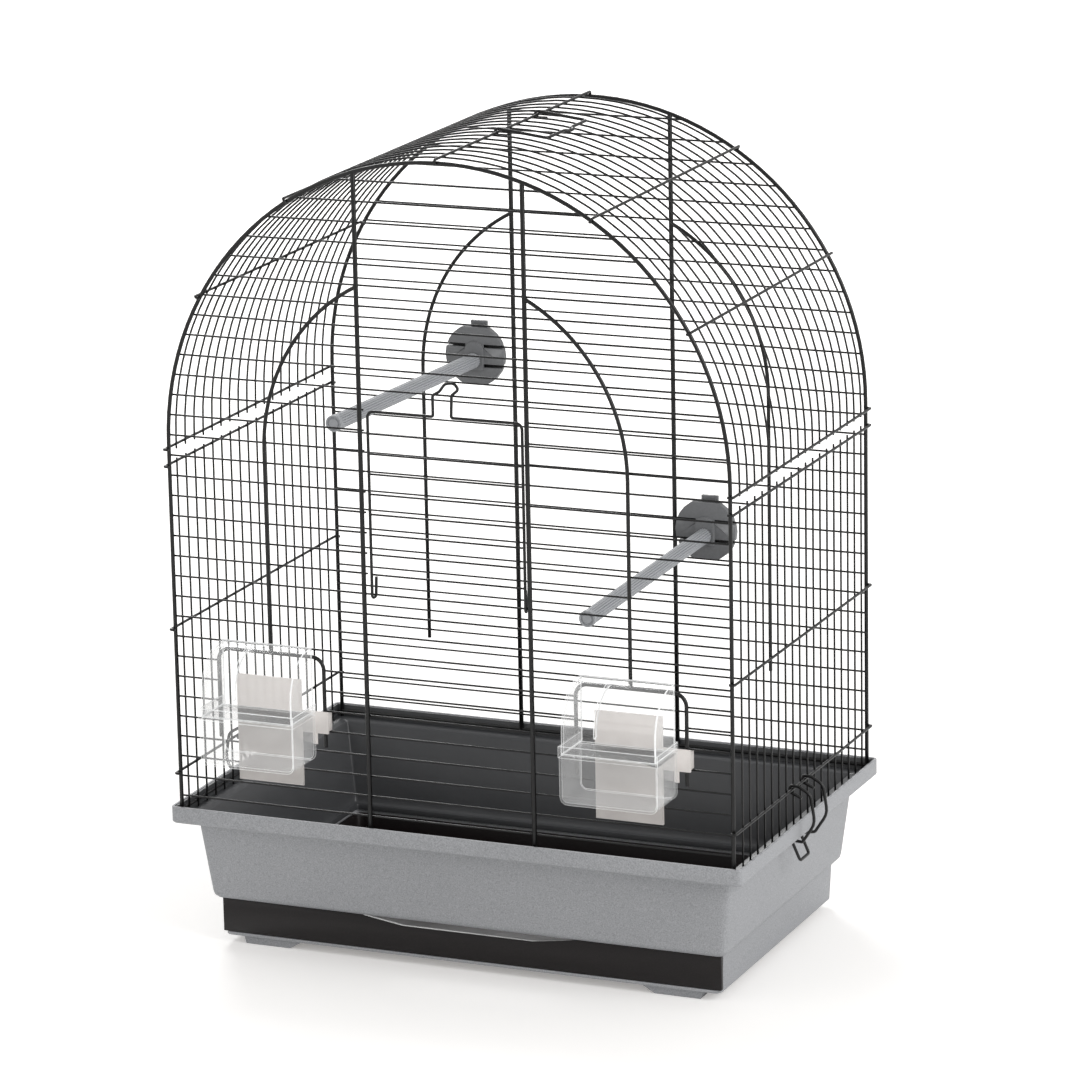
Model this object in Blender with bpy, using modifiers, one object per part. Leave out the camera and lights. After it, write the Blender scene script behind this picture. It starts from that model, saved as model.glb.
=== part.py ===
"""A wire bird cage with an arched roof on a moulded base with a pull-out drawer.

Metres, +Z up. The cage stands on its feet at z = 0 and its front faces -Y. Sizes are
taken from the middle of the base, which the empty "stand" puts a little behind the
origin, so that the origin is below the middle of the cage with its feeders.
Run it with blender --background --python part.py.
"""

import math

import bmesh
import bpy
from mathutils import Matrix, Vector

# Running fit between two pieces that touch or slide on each other
FIT = 0.0003
# How deep a welded wire sits in the wire that it crosses
WELD = 0.00025
# Gap between wires of one panel that cross without a weld
PASS = 0.00012

# Wire radii, from the thick uprights to the thin grid wires
UPRIGHT_WIRE = 0.0015
FRAME_WIRE = 0.0013
ARCH_WIRE = 0.00125
HANDLE_WIRE = 0.001
LATCH_WIRE = 0.001
DOOR_WIRE = 0.00095
RAIL_WIRE = 0.0009
GRID_WIRE = 0.00065

# Base shell: outer sizes and levels, from the floor up
FOOT_HEIGHT = 0.0055
FOOT_LENGTH = 0.044
FOOT_WIDTH = 0.014
FOOT_MIDDLE_X = 0.1375
BASE_WALL = 0.0015
FLOOR_THICKNESS = 0.002
PLINTH_HEIGHT = 0.0254
PLINTH_DRAFT = 0.0012
SKIRT_STEP = 0.0044
SKIRT_CURVE = 0.0050
SKIRT_HEIGHT = 0.0545
SKIRT_DRAFT = 0.0062
RIM_WIDTH = 0.391
RIM_DEPTH = 0.251
RIM_HEIGHT = 0.0111
RIM_OVERHANG = 0.0123
RIM_CORNER = 0.0032
SKIRT_CORNER = 0.0045

# Litter guard: the black liner inside the skirt
GUARD_WALL = 0.0009
GUARD_LIP = 0.0028
GUARD_UPSTAND_DROP = 0.0006
GUARD_LIP_GAP = 0.0006

# Drawer
DRAWER_WALL = 0.0015
DRAWER_FRONT_THICKNESS = 0.0034
DRAWER_HEIGHT = 0.0222
DRAWER_SIDE_GAP = 0.0012
DRAWER_REAR_GAP = 0.003
DRAWER_CORNER = 0.006
GRIP_WIDTH = 0.150
GRIP_SLOPE = 0.030
GRIP_DEPTH = 0.0044
TRAY_DROP = 0.0006

# Wire body
WIRE_GAP = 0.0002
SPRING_LINE_Z = 0.3360
GRID_GAPS = 19
FIRST_ROW_ABOVE_RIM = 0.0066
ROW_PITCH = 0.01324
FRONT_PITCH_CUT = 0.00012
BOTTOM_RAIL_BELOW_RIM = 0.0043
UPRIGHT_X = 0.0563
INNER_ARCH_GAP = 0.0667
REAR_ARCH_FOOT_Z = 0.1498
LOW_RAIL_Z = 0.1185
MIDDLE_RAIL_Z = 0.2139
TOP_RAIL_Z = 0.3205
SIDE_TIP = 0.0026
ROOF_EDGE_DROP = 0.0045
ROOF_RAIL_ANGLES = (30.0, 57.5, 90.0, 122.5, 150.0)
HOOP_STEPS = 14
FRAME_STEPS = 20
HOOK_RETURN = 0.0034
HOOK_BEND = 0.0012

# Door in the front panel, between the uprights
HINGE_ROW = 11
LATCH_ROW = 21
DOOR_ROWS = 8
DOOR_ROW_PITCH = 0.0129
DOOR_HALF_WIDTH = 0.0520
DOOR_SHIFT = 0.0014
DOOR_HEIGHT = 0.1178
DOOR_CORNER = 0.004
DOOR_TAIL = 0.0112
CATCH_WIDTH = 0.0122
CATCH_HEIGHT = 0.0088
CATCH_BEND = 0.0013

# Feeder openings and feeders, one each side
FEEDER_SHIFT = -0.0006
LOOP_HALF_WIDTH = 0.0367
LOOP_TOP_Z = 0.2045
LOOP_FOOT_Z = 0.1459
LOOP_CORNER = 0.008
LOOP_FIRST_ROW = 4
LOOP_LAST_ROW = 7
FEEDER_WIDTH = 0.0657
FEEDER_DEPTH = 0.0340
HOOD_TOP_Z = 0.2118
HOOD_WALL = 0.0010
HOOD_CURVE = 0.0290
HOOD_RIB = 0.0030
HOOD_RIB_SHIFT = -0.0092
HOOD_RIB_Z = 0.1815
CUP_FOOT_Z = 0.1376
CUP_TOP_Z = 0.1750
CUP_WALL = 0.0012
CUP_CORNER = 0.005
COLLAR_Z = 0.1676
COLLAR_STEP = 0.0015
COLLAR_BAND = 0.0005
COLLAR_WALL = 0.0013
BRACKET_THICKNESS = 0.0018
BRACKET_WIDTH = 0.0448
BRACKET_FOOT_Z = 0.1201
BRACKET_TOP_Z = 0.1896
BRACKET_ARM_Z = 0.1556
BRACKET_ARM_HEIGHT = 0.0142
BRACKET_HOOK_X = 0.0043
BRACKET_HOOK_WIDTH = 0.0033
BRACKET_HOOK_DROP = 0.0073

# Perches on the rear panel
PERCH_LENGTH = 0.208
PERCH_RADIUS = 0.0051
PERCH_FLUTES = 12
PERCH_FLUTE_DEPTH = 0.00045
PERCH_DROP = 0.0030
TENON_RADIUS = 0.0034
TENON_LENGTH = 0.0030
DISC_RADIUS = 0.021
DISC_THICKNESS = 0.005
DISC_SLOT = 0.0024
BOSS_WIDTH = 0.0130
BOSS_HEIGHT = 0.0190
BOSS_THICKNESS = 0.002
SPIGOT_RADIUS = 0.003
BACKPLATE_RADIUS = 0.0195
BACKPLATE_THICKNESS = 0.0024
BACKPLATE_TAB = 0.0031
BACKPLATE_TAB_X = (-0.0045, 0.0070)
# Each perch: name, x of its disc, the grid row below its middle, and the lean of its tip
PERCHES = (
    ("upper_perch", -0.0831, 18, (-0.0045, 0.0043)),
    ("lower_perch", 0.0791, 10, (0.0033, -0.0012)),
)

# Carry handle on the ridge rail
HANDLE_FIRST_GAP = 7
HANDLE_LAST_GAP = 12
HANDLE_REACH = 0.033
HANDLE_BEND = 0.0014
HANDLE_KINK = 0.0032
HANDLE_KINK_WIDTH = 0.010
HANDLE_TAIL = 0.006

# Latches that hook the wire body to the rim
LATCH_MIDDLE_Y = -0.0115
LATCH_HALF_WIDTH = 0.0114
LATCH_BOW = 0.0162
LATCH_BOW_IN = 0.0026
LATCH_BOW_DROP = 0.0152
LATCH_UNDER_RIM = 0.0070
LATCH_HOOK_DROP = 0.0049
LATCH_TAB_LENGTH = 0.0118
LATCH_TAB_WIDTH = 0.0160
LATCH_TAIL = 0.0075

# Levels and offsets that follow from the sizes above
FLOOR_Z = FOOT_HEIGHT
PLINTH_TOP_Z = FLOOR_Z + PLINTH_HEIGHT
RIM_FOOT_Z = PLINTH_TOP_Z + SKIRT_HEIGHT
RIM_TOP_Z = RIM_FOOT_Z + RIM_HEIGHT
LEDGE_Z = RIM_FOOT_Z + BASE_WALL + FIT + GUARD_WALL
GUARD_FACE_INSET = BASE_WALL + FIT + GUARD_WALL
RAIL_X = RIM_WIDTH / 2 - GUARD_FACE_INSET - WIRE_GAP - RAIL_WIRE
FRAME_X = RAIL_X - RAIL_WIRE - FIT - FRAME_WIRE
FRAME_Y = RIM_DEPTH / 2 - GUARD_FACE_INSET - WIRE_GAP - FRAME_WIRE
GRID_X = RAIL_X - RAIL_WIRE - GRID_WIRE + WELD
ROW_Y = FRAME_Y - FRAME_WIRE - GRID_WIRE + WELD
UPRIGHT_Y = ROW_Y + GRID_WIRE + PASS + UPRIGHT_WIRE
ARCH_Y = ROW_Y + GRID_WIRE + PASS + ARCH_WIRE
HOOK_Y = FRAME_Y + FRAME_WIRE + FIT + RAIL_WIRE
WIRE_FOOT_Z = LEDGE_Z + FIT
RIDGE_Z = SPRING_LINE_Z + RAIL_X
BOTTOM_RAIL_Z = RIM_TOP_Z - BOTTOM_RAIL_BELOW_RIM
GRID_PITCH = 2 * FRAME_Y / GRID_GAPS
ROOF_EDGE_Z = SPRING_LINE_Z - ROOF_EDGE_DROP
FIRST_ROW_Z = RIM_TOP_Z + FIRST_ROW_ABOVE_RIM
ROW_COUNT = 1 + int((SPRING_LINE_Z + FRAME_X - 3 * FRAME_WIRE - FIRST_ROW_Z) / ROW_PITCH)
INNER_ARCH_RADIUS = FRAME_X - INNER_ARCH_GAP


def row_z(row, side_y=1):
    """Height of a horizontal grid wire; above the door's hinge the front ones are a little closer."""
    closer = max(0, row - HINGE_ROW) * FRONT_PITCH_CUT if side_y < 0 else 0.0
    return FIRST_ROW_Z + row * ROW_PITCH - closer


def grid_y(wire):
    """Depth of one of the side and roof wires; wire 0 would be the front frame."""
    return -FRAME_Y + wire * GRID_PITCH


def clear_scene():
    for obj in list(bpy.data.objects):
        bpy.data.objects.remove(obj, do_unlink=True)


def new_collection(name, hidden=False):
    made = bpy.data.collections.new(name)
    made.hide_render = hidden
    bpy.context.scene.collection.children.link(made)
    return made


def feeder_rear_y():
    """Where the backs of the hood and cup stand, just clear of the bracket."""
    return -FRAME_Y - ARCH_WIRE - FIT - BRACKET_THICKNESS - FIT


clear_scene()
CAGE = new_collection("bird_cage")
HELPERS = new_collection("cutters", hidden=True)
STAND = bpy.data.objects.new("stand", None)
STAND.location.y = (FEEDER_DEPTH - feeder_rear_y() - RIM_DEPTH / 2) / 2
CAGE.objects.link(STAND)


def paint(obj, colour, roughness, metallic=0.0, transmission=0.0):
    """Give the piece its own material."""
    material = bpy.data.materials.new(obj.name + "_finish")
    material.use_nodes = True
    shader = material.node_tree.nodes["Principled BSDF"]
    shader.inputs["Base Color"].default_value = (*colour, 1.0)
    shader.inputs["Roughness"].default_value = roughness
    shader.inputs["Metallic"].default_value = metallic
    shader.inputs["Transmission Weight"].default_value = transmission
    obj.data.materials.clear()
    obj.data.materials.append(material)


def paint_wire(obj):
    paint(obj, (0.012, 0.012, 0.012), 0.38)


def paint_grey_plastic(obj):
    paint(obj, (0.29, 0.295, 0.305), 0.55)


def paint_black_plastic(obj):
    paint(obj, (0.035, 0.035, 0.037), 0.42)


def paint_clear_plastic(obj):
    paint(obj, (0.93, 0.94, 0.94), 0.06, transmission=1.0)


def finished(name, mesh, pivot=(0.0, 0.0, 0.0), smooth_angle=30.0):
    """A piece of the cage, with its origin at the pivot."""
    mesh.transform(Matrix.Translation(-Vector(pivot)))
    mesh.shade_smooth()
    mesh.set_sharp_from_angle(angle=math.radians(smooth_angle))
    obj = bpy.data.objects.new(name, mesh)
    obj.location = pivot
    obj.parent = STAND
    CAGE.objects.link(obj)
    return obj


def helper(name, mesh):
    """A cutter or a part of a union, left out of renders."""
    obj = bpy.data.objects.new(name, mesh)
    obj.parent = STAND
    obj.hide_render = True
    obj.display_type = "WIRE"
    HELPERS.objects.link(obj)
    return obj


def boolean(obj, operation, other, crossing_wires=False):
    modifier = obj.modifiers.new(other.name, "BOOLEAN")
    modifier.operation = operation
    modifier.solver = "EXACT"
    modifier.use_self = crossing_wires
    modifier.object = other
    return modifier


def cut(obj, mesh, label):
    boolean(obj, "DIFFERENCE", helper(f"{obj.name}_{label}", mesh))


def join(obj, mesh, label, crossing_wires=False):
    boolean(obj, "UNION", helper(f"{obj.name}_{label}", mesh), crossing_wires)


def mesh_of(build, name="shape"):
    """A mesh made by build(bm)."""
    bm = bmesh.new()
    build(bm)
    mesh = bpy.data.meshes.new(name)
    bm.to_mesh(mesh)
    bm.free()
    return mesh


def combined(meshes):
    """All the meshes as one, still separate inside it."""

    def build(bm):
        for mesh in meshes:
            bm.from_mesh(mesh)

    return mesh_of(build)


def box(low, high):
    """A box between two corners."""
    low, high = Vector(low), Vector(high)
    size = Matrix.Diagonal((*(high - low), 1.0))
    matrix = Matrix.Translation((low + high) / 2) @ size
    return mesh_of(lambda bm: bmesh.ops.create_cube(bm, size=1.0, matrix=matrix))


def mesh_from_curve(curve):
    """The closed mesh of a curve, its caps welded to its sides."""
    guide = bpy.data.objects.new("guide", curve)
    bpy.context.scene.collection.objects.link(guide)
    bpy.context.view_layer.update()
    graph = bpy.context.evaluated_depsgraph_get()
    mesh = bpy.data.meshes.new_from_object(guide.evaluated_get(graph))
    bpy.data.objects.remove(guide, do_unlink=True)
    bm = bmesh.new()
    bm.from_mesh(mesh)
    bmesh.ops.remove_doubles(bm, verts=bm.verts, dist=0.000001)
    bmesh.ops.recalc_face_normals(bm, faces=bm.faces)
    bm.to_mesh(mesh)
    bm.free()
    return mesh


def wires(runs, radius, sides=6, tilt=0.0):
    """Round wires along runs of points, with closed ends; tilt turns their sides."""
    curve = bpy.data.curves.new("wires", "CURVE")
    curve.dimensions = "3D"
    curve.bevel_depth = radius
    curve.bevel_resolution = (sides - 4) // 2
    curve.use_fill_caps = True
    for run in runs:
        spline = curve.splines.new("POLY")
        spline.points.add(len(run) - 1)
        for point, place in zip(spline.points, run):
            point.co = (*place, 1.0)
            point.tilt = math.radians(tilt)
    return mesh_from_curve(curve)


def plate(outline, thickness, holes=()):
    """A flat plate in the XY plane, its outline extruded half its thickness both ways."""
    curve = bpy.data.curves.new("plate", "CURVE")
    curve.dimensions = "2D"
    curve.fill_mode = "BOTH"
    curve.extrude = thickness / 2
    for path in (outline, *holes):
        spline = curve.splines.new("POLY")
        spline.use_cyclic_u = True
        spline.points.add(len(path) - 1)
        for point, place in zip(spline.points, path):
            point.co = (place[0], place[1], 0.0, 1.0)
    return mesh_from_curve(curve)


def upright_plate(outline, y_low, y_high):
    """A plate with its outline given in x and z, between two depths."""
    mesh = plate(outline, y_high - y_low)
    turn = Matrix.Rotation(math.radians(90), 4, "X")
    mesh.transform(Matrix.Translation((0, (y_low + y_high) / 2, 0)) @ turn)
    return mesh


def side_plate(outline, x_low, x_high):
    """A plate with its outline given in y and z, between two widths."""
    mesh = plate(outline, x_high - x_low)
    turn = Matrix(((0, 0, 1, 0), (1, 0, 0, 0), (0, 1, 0, 0), (0, 0, 0, 1)))
    mesh.transform(Matrix.Translation(((x_low + x_high) / 2, 0, 0)) @ turn)
    return mesh


def cylinder(radius, y_low, y_high, x=0.0, z=0.0, sides=24):
    """A round piece along Y."""
    turn = Matrix.Rotation(math.radians(90), 4, "X")
    matrix = Matrix.Translation((x, (y_low + y_high) / 2, z)) @ turn
    return mesh_of(
        lambda bm: bmesh.ops.create_cone(
            bm,
            cap_ends=True,
            segments=sides,
            radius1=radius,
            radius2=radius,
            depth=y_high - y_low,
            matrix=matrix,
        )
    )


def arc(centre, radius, start, end, steps):
    """Points of an arc given as pairs, with its angles in degrees."""
    angles = (math.radians(start + (end - start) * i / steps) for i in range(steps + 1))
    return [(centre[0] + radius * math.cos(a), centre[1] + radius * math.sin(a)) for a in angles]


def rounded(corners, radius, steps=3):
    """The path through the corners, with an arc at each inner one."""
    corners = [Vector(corner) for corner in corners]
    path = [corners[0]]
    for before, corner, after in zip(corners, corners[1:], corners[2:]):
        back = (before - corner).normalized()
        ahead = (after - corner).normalized()
        half = back.angle(ahead) / 2
        reach = radius / math.tan(half)
        centre = corner + (back + ahead).normalized() * (radius / math.sin(half))
        first = (corner + back * reach - centre).normalized()
        last = (corner + ahead * reach - centre).normalized()
        path += [centre + first.slerp(last, i / steps) * radius for i in range(steps + 1)]
    return path + [corners[-1]]


def rounded_outline(corners, radii, steps=3):
    """A closed flat outline with an arc of its own radius at each corner, 0 for a sharp one."""
    corners = [Vector((*corner, 0.0)) for corner in corners]
    path = []
    for i, corner in enumerate(corners):
        if not radii[i]:
            path.append(corner)
            continue
        bend = (corners[i - 1], corner, corners[(i + 1) % len(corners)])
        path += rounded(bend, radii[i], steps)[1:-1]
    return [(point.x, point.y) for point in path]


def ring(half_x, half_y, corner, z, steps=3):
    """A rounded rectangle, anticlockwise from above."""
    points = []
    for turn, (side_x, side_y) in enumerate(((1, 1), (-1, 1), (-1, -1), (1, -1))):
        centre = (side_x * (half_x - corner), side_y * (half_y - corner))
        points += arc(centre, corner, 90 * turn, 90 * turn + 90, steps)
    return [(x, y, z) for x, y in points]


def skin(rings, close_end=False):
    """A surface through rings of as many points each, facing out where they run downwards."""

    def build(bm):
        loops = [[bm.verts.new(point) for point in points] for points in rings]
        for upper, lower in zip(loops, loops[1:]):
            for i, corner in enumerate(upper):
                after = (i + 1) % len(upper)
                bm.faces.new((corner, lower[i], lower[after], upper[after]))
        if close_end:
            bm.faces.new(list(reversed(loops[-1])))

    return mesh_of(build)


def thicken(obj, thickness, outwards=False):
    modifier = obj.modifiers.new("wall", "SOLIDIFY")
    modifier.thickness = thickness
    modifier.offset = 1.0 if outwards else -1.0
    modifier.use_even_offset = True
    return modifier


def skirt_half(z):
    """Half width and half depth of the outside of the skirt at a height."""
    drop = SKIRT_DRAFT * (RIM_FOOT_Z - z) / SKIRT_HEIGHT
    return (
        RIM_WIDTH / 2 - RIM_OVERHANG - drop,
        RIM_DEPTH / 2 - RIM_OVERHANG - drop,
    )


def plinth_half(z):
    """Half width and half depth of the outside of the plinth under the skirt."""
    half_x, half_y = skirt_half(PLINTH_TOP_Z)
    drop = SKIRT_STEP + PLINTH_DRAFT * (PLINTH_TOP_Z - z) / PLINTH_HEIGHT
    return half_x - drop, half_y - drop


def base_skin_rings():
    """The outside of the base from the rim's top edge down to its floor."""
    rim = (RIM_WIDTH / 2, RIM_DEPTH / 2)
    edge = BASE_WALL * 0.7
    rings = [
        ring(*rim, RIM_CORNER, RIM_TOP_Z),
        ring(*rim, RIM_CORNER, RIM_FOOT_Z + edge),
        ring(rim[0] - edge, rim[1] - edge, RIM_CORNER, RIM_FOOT_Z),
        ring(*skirt_half(RIM_FOOT_Z), SKIRT_CORNER, RIM_FOOT_Z),
    ]
    curve_top = PLINTH_TOP_Z + SKIRT_CURVE
    top = skirt_half(curve_top)
    for across, down in arc((0, 0), 1.0, 0, 90, 3):
        inset = SKIRT_STEP * (1 - across)
        z = curve_top - SKIRT_CURVE * down
        rings.append(ring(top[0] - inset, top[1] - inset, SKIRT_CORNER, z))
    rings.append(ring(*plinth_half(PLINTH_TOP_Z), SKIRT_CORNER, PLINTH_TOP_Z))
    rings.append(ring(*plinth_half(FLOOR_Z), SKIRT_CORNER, FLOOR_Z))
    return rings


def foot(side_x, side_y):
    """One foot: a low block whose inner end slopes up to the floor of the base."""
    half_y = plinth_half(FLOOR_Z)[1]
    outer = FOOT_MIDDLE_X + FOOT_LENGTH / 2
    inner = FOOT_MIDDLE_X - FOOT_LENGTH / 2
    top = FLOOR_Z + FLOOR_THICKNESS / 2
    outline = [
        (side_x * outer, top),
        (side_x * inner, top),
        (side_x * (inner + 0.011), 0.0),
        (side_x * (outer - 0.002), 0.0),
    ]
    near = half_y - SKIRT_CORNER / 2
    depths = sorted((side_y * near, side_y * (near - FOOT_WIDTH)))
    return upright_plate(outline, *depths)


def base_shell():
    """Rim, skirt, plinth and floor in one moulding, open in front for the drawer."""
    obj = finished("base_shell", skin(base_skin_rings(), close_end=True))
    thicken(obj, BASE_WALL)
    half_x, half_y = plinth_half(FLOOR_Z)
    bay_low = FLOOR_Z + FLOOR_THICKNESS
    inset = BASE_WALL / 2
    edge = ring(half_x - inset, half_y - inset, SKIRT_CORNER - inset, 0.0)
    floor = plate([(x, y) for x, y, _ in edge], FLOOR_THICKNESS / 2)
    floor.transform(Matrix.Translation((0, 0, bay_low - FLOOR_THICKNESS / 4)))
    join(obj, floor, "floor")
    mouth_y = -half_y + DRAWER_FRONT_THICKNESS + FIT
    mouth = box((-RIM_WIDTH, -RIM_DEPTH, bay_low), (RIM_WIDTH, mouth_y, PLINTH_TOP_Z - FIT))
    cut(obj, mouth, "drawer_mouth")
    for side_x in (-1, 1):
        for side_y in (-1, 1):
            join(obj, foot(side_x, side_y), f"foot_{side_x}_{side_y}")
    paint_grey_plastic(obj)
    return obj


def litter_guard():
    """The liner: an upstand inside the rim, a ledge for the wires and steep walls to a lip in the plinth."""
    face_x = RIM_WIDTH / 2 - GUARD_FACE_INSET
    face_y = RIM_DEPTH / 2 - GUARD_FACE_INSET
    wall_inset = BASE_WALL + FIT + GUARD_WALL
    top_x, top_y = (half - wall_inset for half in skirt_half(RIM_FOOT_Z))
    lip_z = PLINTH_TOP_Z + BASE_WALL + GUARD_WALL + GUARD_LIP_GAP
    lip = GUARD_LIP
    low_x, low_y = (half - SKIRT_DRAFT - lip for half in (top_x, top_y))
    corner = SKIRT_CORNER - wall_inset
    rings = [
        ring(face_x, face_y, RIM_CORNER - GUARD_FACE_INSET, RIM_TOP_Z - GUARD_UPSTAND_DROP),
        ring(face_x, face_y, RIM_CORNER - GUARD_FACE_INSET, LEDGE_Z),
        ring(top_x + 0.0006, top_y + 0.0006, corner, LEDGE_Z),
        ring(top_x, top_y, corner, LEDGE_Z - 0.0006),
        ring(low_x + lip * 0.35, low_y + lip * 0.35, corner, lip_z + lip * 2.2),
    ]
    for across, down in arc((0, 0), 1.0, 20, 90, 3):
        inset = lip * (1 - across)
        rings.append(ring(low_x - inset + lip * 0.3, low_y - inset + lip * 0.3, corner,
                          lip_z + lip * (1 - down)))
    rings.append(ring(low_x - lip * 0.7, low_y - lip * 0.7, corner, PLINTH_TOP_Z - 2 * FIT))
    obj = finished("litter_guard", skin(rings))
    thicken(obj, GUARD_WALL, outwards=True)
    paint_black_plastic(obj)
    return obj


def drawer():
    """The pull-out tray with its front, which has a finger grip in the top edge."""
    half_x, half_y = plinth_half(FLOOR_Z)
    low = FLOOR_Z + FLOOR_THICKNESS + FIT
    top = low + DRAWER_HEIGHT
    tray_x = half_x - BASE_WALL - DRAWER_SIDE_GAP
    front_y = -half_y
    tray_front = front_y + DRAWER_FRONT_THICKNESS / 2
    tray_rear = half_y - BASE_WALL - DRAWER_REAR_GAP
    middle_y = (tray_front + tray_rear) / 2
    tray_half_y = (tray_rear - tray_front) / 2
    rings = [
        ring(tray_x, tray_half_y, DRAWER_CORNER, top - TRAY_DROP),
        ring(tray_x, tray_half_y, DRAWER_CORNER, low + 0.002),
        ring(tray_x - 0.002, tray_half_y - 0.002, DRAWER_CORNER, low),
    ]
    tray = skin(rings, close_end=True)
    tray.transform(Matrix.Translation((0, middle_y, 0)))
    obj = finished("drawer", tray)
    thicken(obj, DRAWER_WALL)
    grip = GRIP_WIDTH / 2
    grip_low = (-grip, -RIM_DEPTH, top - GRIP_DEPTH - TRAY_DROP)
    cut(obj, box(grip_low, (grip, front_y + 2 * DRAWER_FRONT_THICKNESS, PLINTH_TOP_Z)), "grip")
    plate_x = plinth_half(PLINTH_TOP_Z)[0] - FIT
    outline = [
        (-plate_x, low),
        (plate_x, low),
        (plate_x, top),
        (grip, top),
        (grip - GRIP_SLOPE, top - GRIP_DEPTH),
        (GRIP_SLOPE - grip, top - GRIP_DEPTH),
        (-grip, top),
        (-plate_x, top),
    ]
    join(obj, upright_plate(outline, front_y, front_y + DRAWER_FRONT_THICKNESS), "front")
    paint_black_plastic(obj)
    return obj


def frame_runs(side_y):
    """Arch and posts of a panel in one bent wire, and its straight bottom wire."""
    arch = arc((0, SPRING_LINE_Z), FRAME_X, 180, 0, FRAME_STEPS)
    path = [(-FRAME_X, WIRE_FOOT_Z), *arch, (FRAME_X, WIRE_FOOT_Z)]
    bent = [(x, side_y * FRAME_Y, z) for x, z in path]
    bottom = [(side * FRAME_X, side_y * FRAME_Y, BOTTOM_RAIL_Z) for side in (-1, 1)]
    return [bent, bottom]


def upright_runs(side_y):
    """The two thick uprights from the bottom wire to the arch."""
    foot_y = FRAME_Y + FRAME_WIRE - UPRIGHT_WIRE
    jog_z = RIM_TOP_Z + FIRST_ROW_ABOVE_RIM / 2
    path = [
        (foot_y, BOTTOM_RAIL_Z - FRAME_WIRE),
        (foot_y, RIM_TOP_Z),
        (UPRIGHT_Y, jog_z),
        (UPRIGHT_Y, SPRING_LINE_Z + math.sqrt(FRAME_X**2 - UPRIGHT_X**2)),
    ]
    return [[(side * UPRIGHT_X, side_y * y, z) for y, z in path] for side in (-1, 1)]


def inner_arch_runs(side_y, foot_z):
    """The ornamental arch of the panel, broken between the uprights and pressed in at its feet."""
    stop = math.degrees(math.acos(UPRIGHT_X / INNER_ARCH_RADIUS))
    runs = []
    for side in (-1, 1):
        curve = arc((0, SPRING_LINE_Z), INNER_ARCH_RADIUS, 0, stop, 6)
        foot = (side * INNER_ARCH_RADIUS, side_y * FRAME_Y, foot_z)
        pressed = [foot, (foot[0], foot[1], foot_z + ROW_PITCH * 0.8)]
        runs.append(pressed + [
            (side * x, side_y * ARCH_Y, z)
            for x, z in [(INNER_ARCH_RADIUS, foot_z + ROW_PITCH * 1.3), *curve]
        ])
    return runs


def feeder_loop_runs():
    """The inverted U wires round the feeder openings, with free lower ends."""
    runs = []
    for side in (-1, 1):
        middle = side * INNER_ARCH_RADIUS
        low, high = middle - LOOP_HALF_WIDTH, middle + LOOP_HALF_WIDTH
        corners = [(low, LOOP_FOOT_Z), (low, LOOP_TOP_Z), (high, LOOP_TOP_Z), (high, LOOP_FOOT_Z)]
        runs.append(rounded([(x, -FRAME_Y, z) for x, z in corners], LOOP_CORNER))
    return runs


def row_reach(row, side_y):
    """How far a horizontal wire runs from the middle to just short of the frame's centre line."""
    rise = max(0.0, row_z(row, side_y) - SPRING_LINE_Z)
    return math.sqrt(FRAME_X**2 - rise**2) - FRAME_WIRE / 10


def row_stops(row):
    """The open stretches of a front row, as pairs of x where the wire is left out."""
    if LOOP_FIRST_ROW <= row <= LOOP_LAST_ROW:
        inner = LOOP_HALF_WIDTH + ARCH_WIRE / 10
        middles = (-INNER_ARCH_RADIUS, INNER_ARCH_RADIUS)
        return [(middle - inner, middle + inner) for middle in middles]
    if HINGE_ROW < row < LATCH_ROW:
        tip = UPRIGHT_X - UPRIGHT_WIRE - GRID_WIRE
        return [(-tip, tip)]
    return []


def row_runs(side_y, stops_of):
    """The horizontal grid wires, broken where stops_of says."""
    runs = []
    for row in range(ROW_COUNT):
        reach = row_reach(row, side_y)
        ends = [-reach, *(x for stop in stops_of(row) for x in stop), reach]
        for start, end in zip(ends[::2], ends[1::2]):
            runs.append([(x, side_y * ROW_Y, row_z(row, side_y)) for x in (start, end)])
    return runs


def welded_panel(name, heavy, grid):
    """One panel: the heavy wires with the thin grid welded to them."""
    obj = finished(name, combined(heavy))
    boolean(obj, "UNION", helper(f"{name}_grid", grid), crossing_wires=True)
    paint_wire(obj)
    return obj


def front_panel():
    heavy = [
        wires(frame_runs(-1), FRAME_WIRE, tilt=30),
        wires(upright_runs(-1), UPRIGHT_WIRE, tilt=30),
        wires(inner_arch_runs(-1, LOOP_TOP_Z), ARCH_WIRE, tilt=30),
        wires(feeder_loop_runs(), ARCH_WIRE, tilt=30),
    ]
    return welded_panel("front_panel", heavy, wires(row_runs(-1, row_stops), GRID_WIRE, 4))


def rear_panel():
    heavy = [
        wires(frame_runs(1), FRAME_WIRE, tilt=30),
        wires(upright_runs(1), UPRIGHT_WIRE, tilt=30),
        wires(inner_arch_runs(1, REAR_ARCH_FOOT_Z), ARCH_WIRE, tilt=30),
    ]
    return welded_panel("rear_panel", heavy, wires(row_runs(1, lambda row: []), GRID_WIRE, 4))


def hooked_rail(place, inwards):
    """A rail from front to rear whose ends are bent in round the front and rear frames."""
    rail = Vector(place)
    turn = Vector(inwards) * HOOK_RETURN
    depth = Vector((0, HOOK_Y, 0))
    corners = [rail - depth + turn, rail - depth, rail + depth, rail + depth + turn]
    return rounded(corners, HOOK_BEND, 2)


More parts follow.
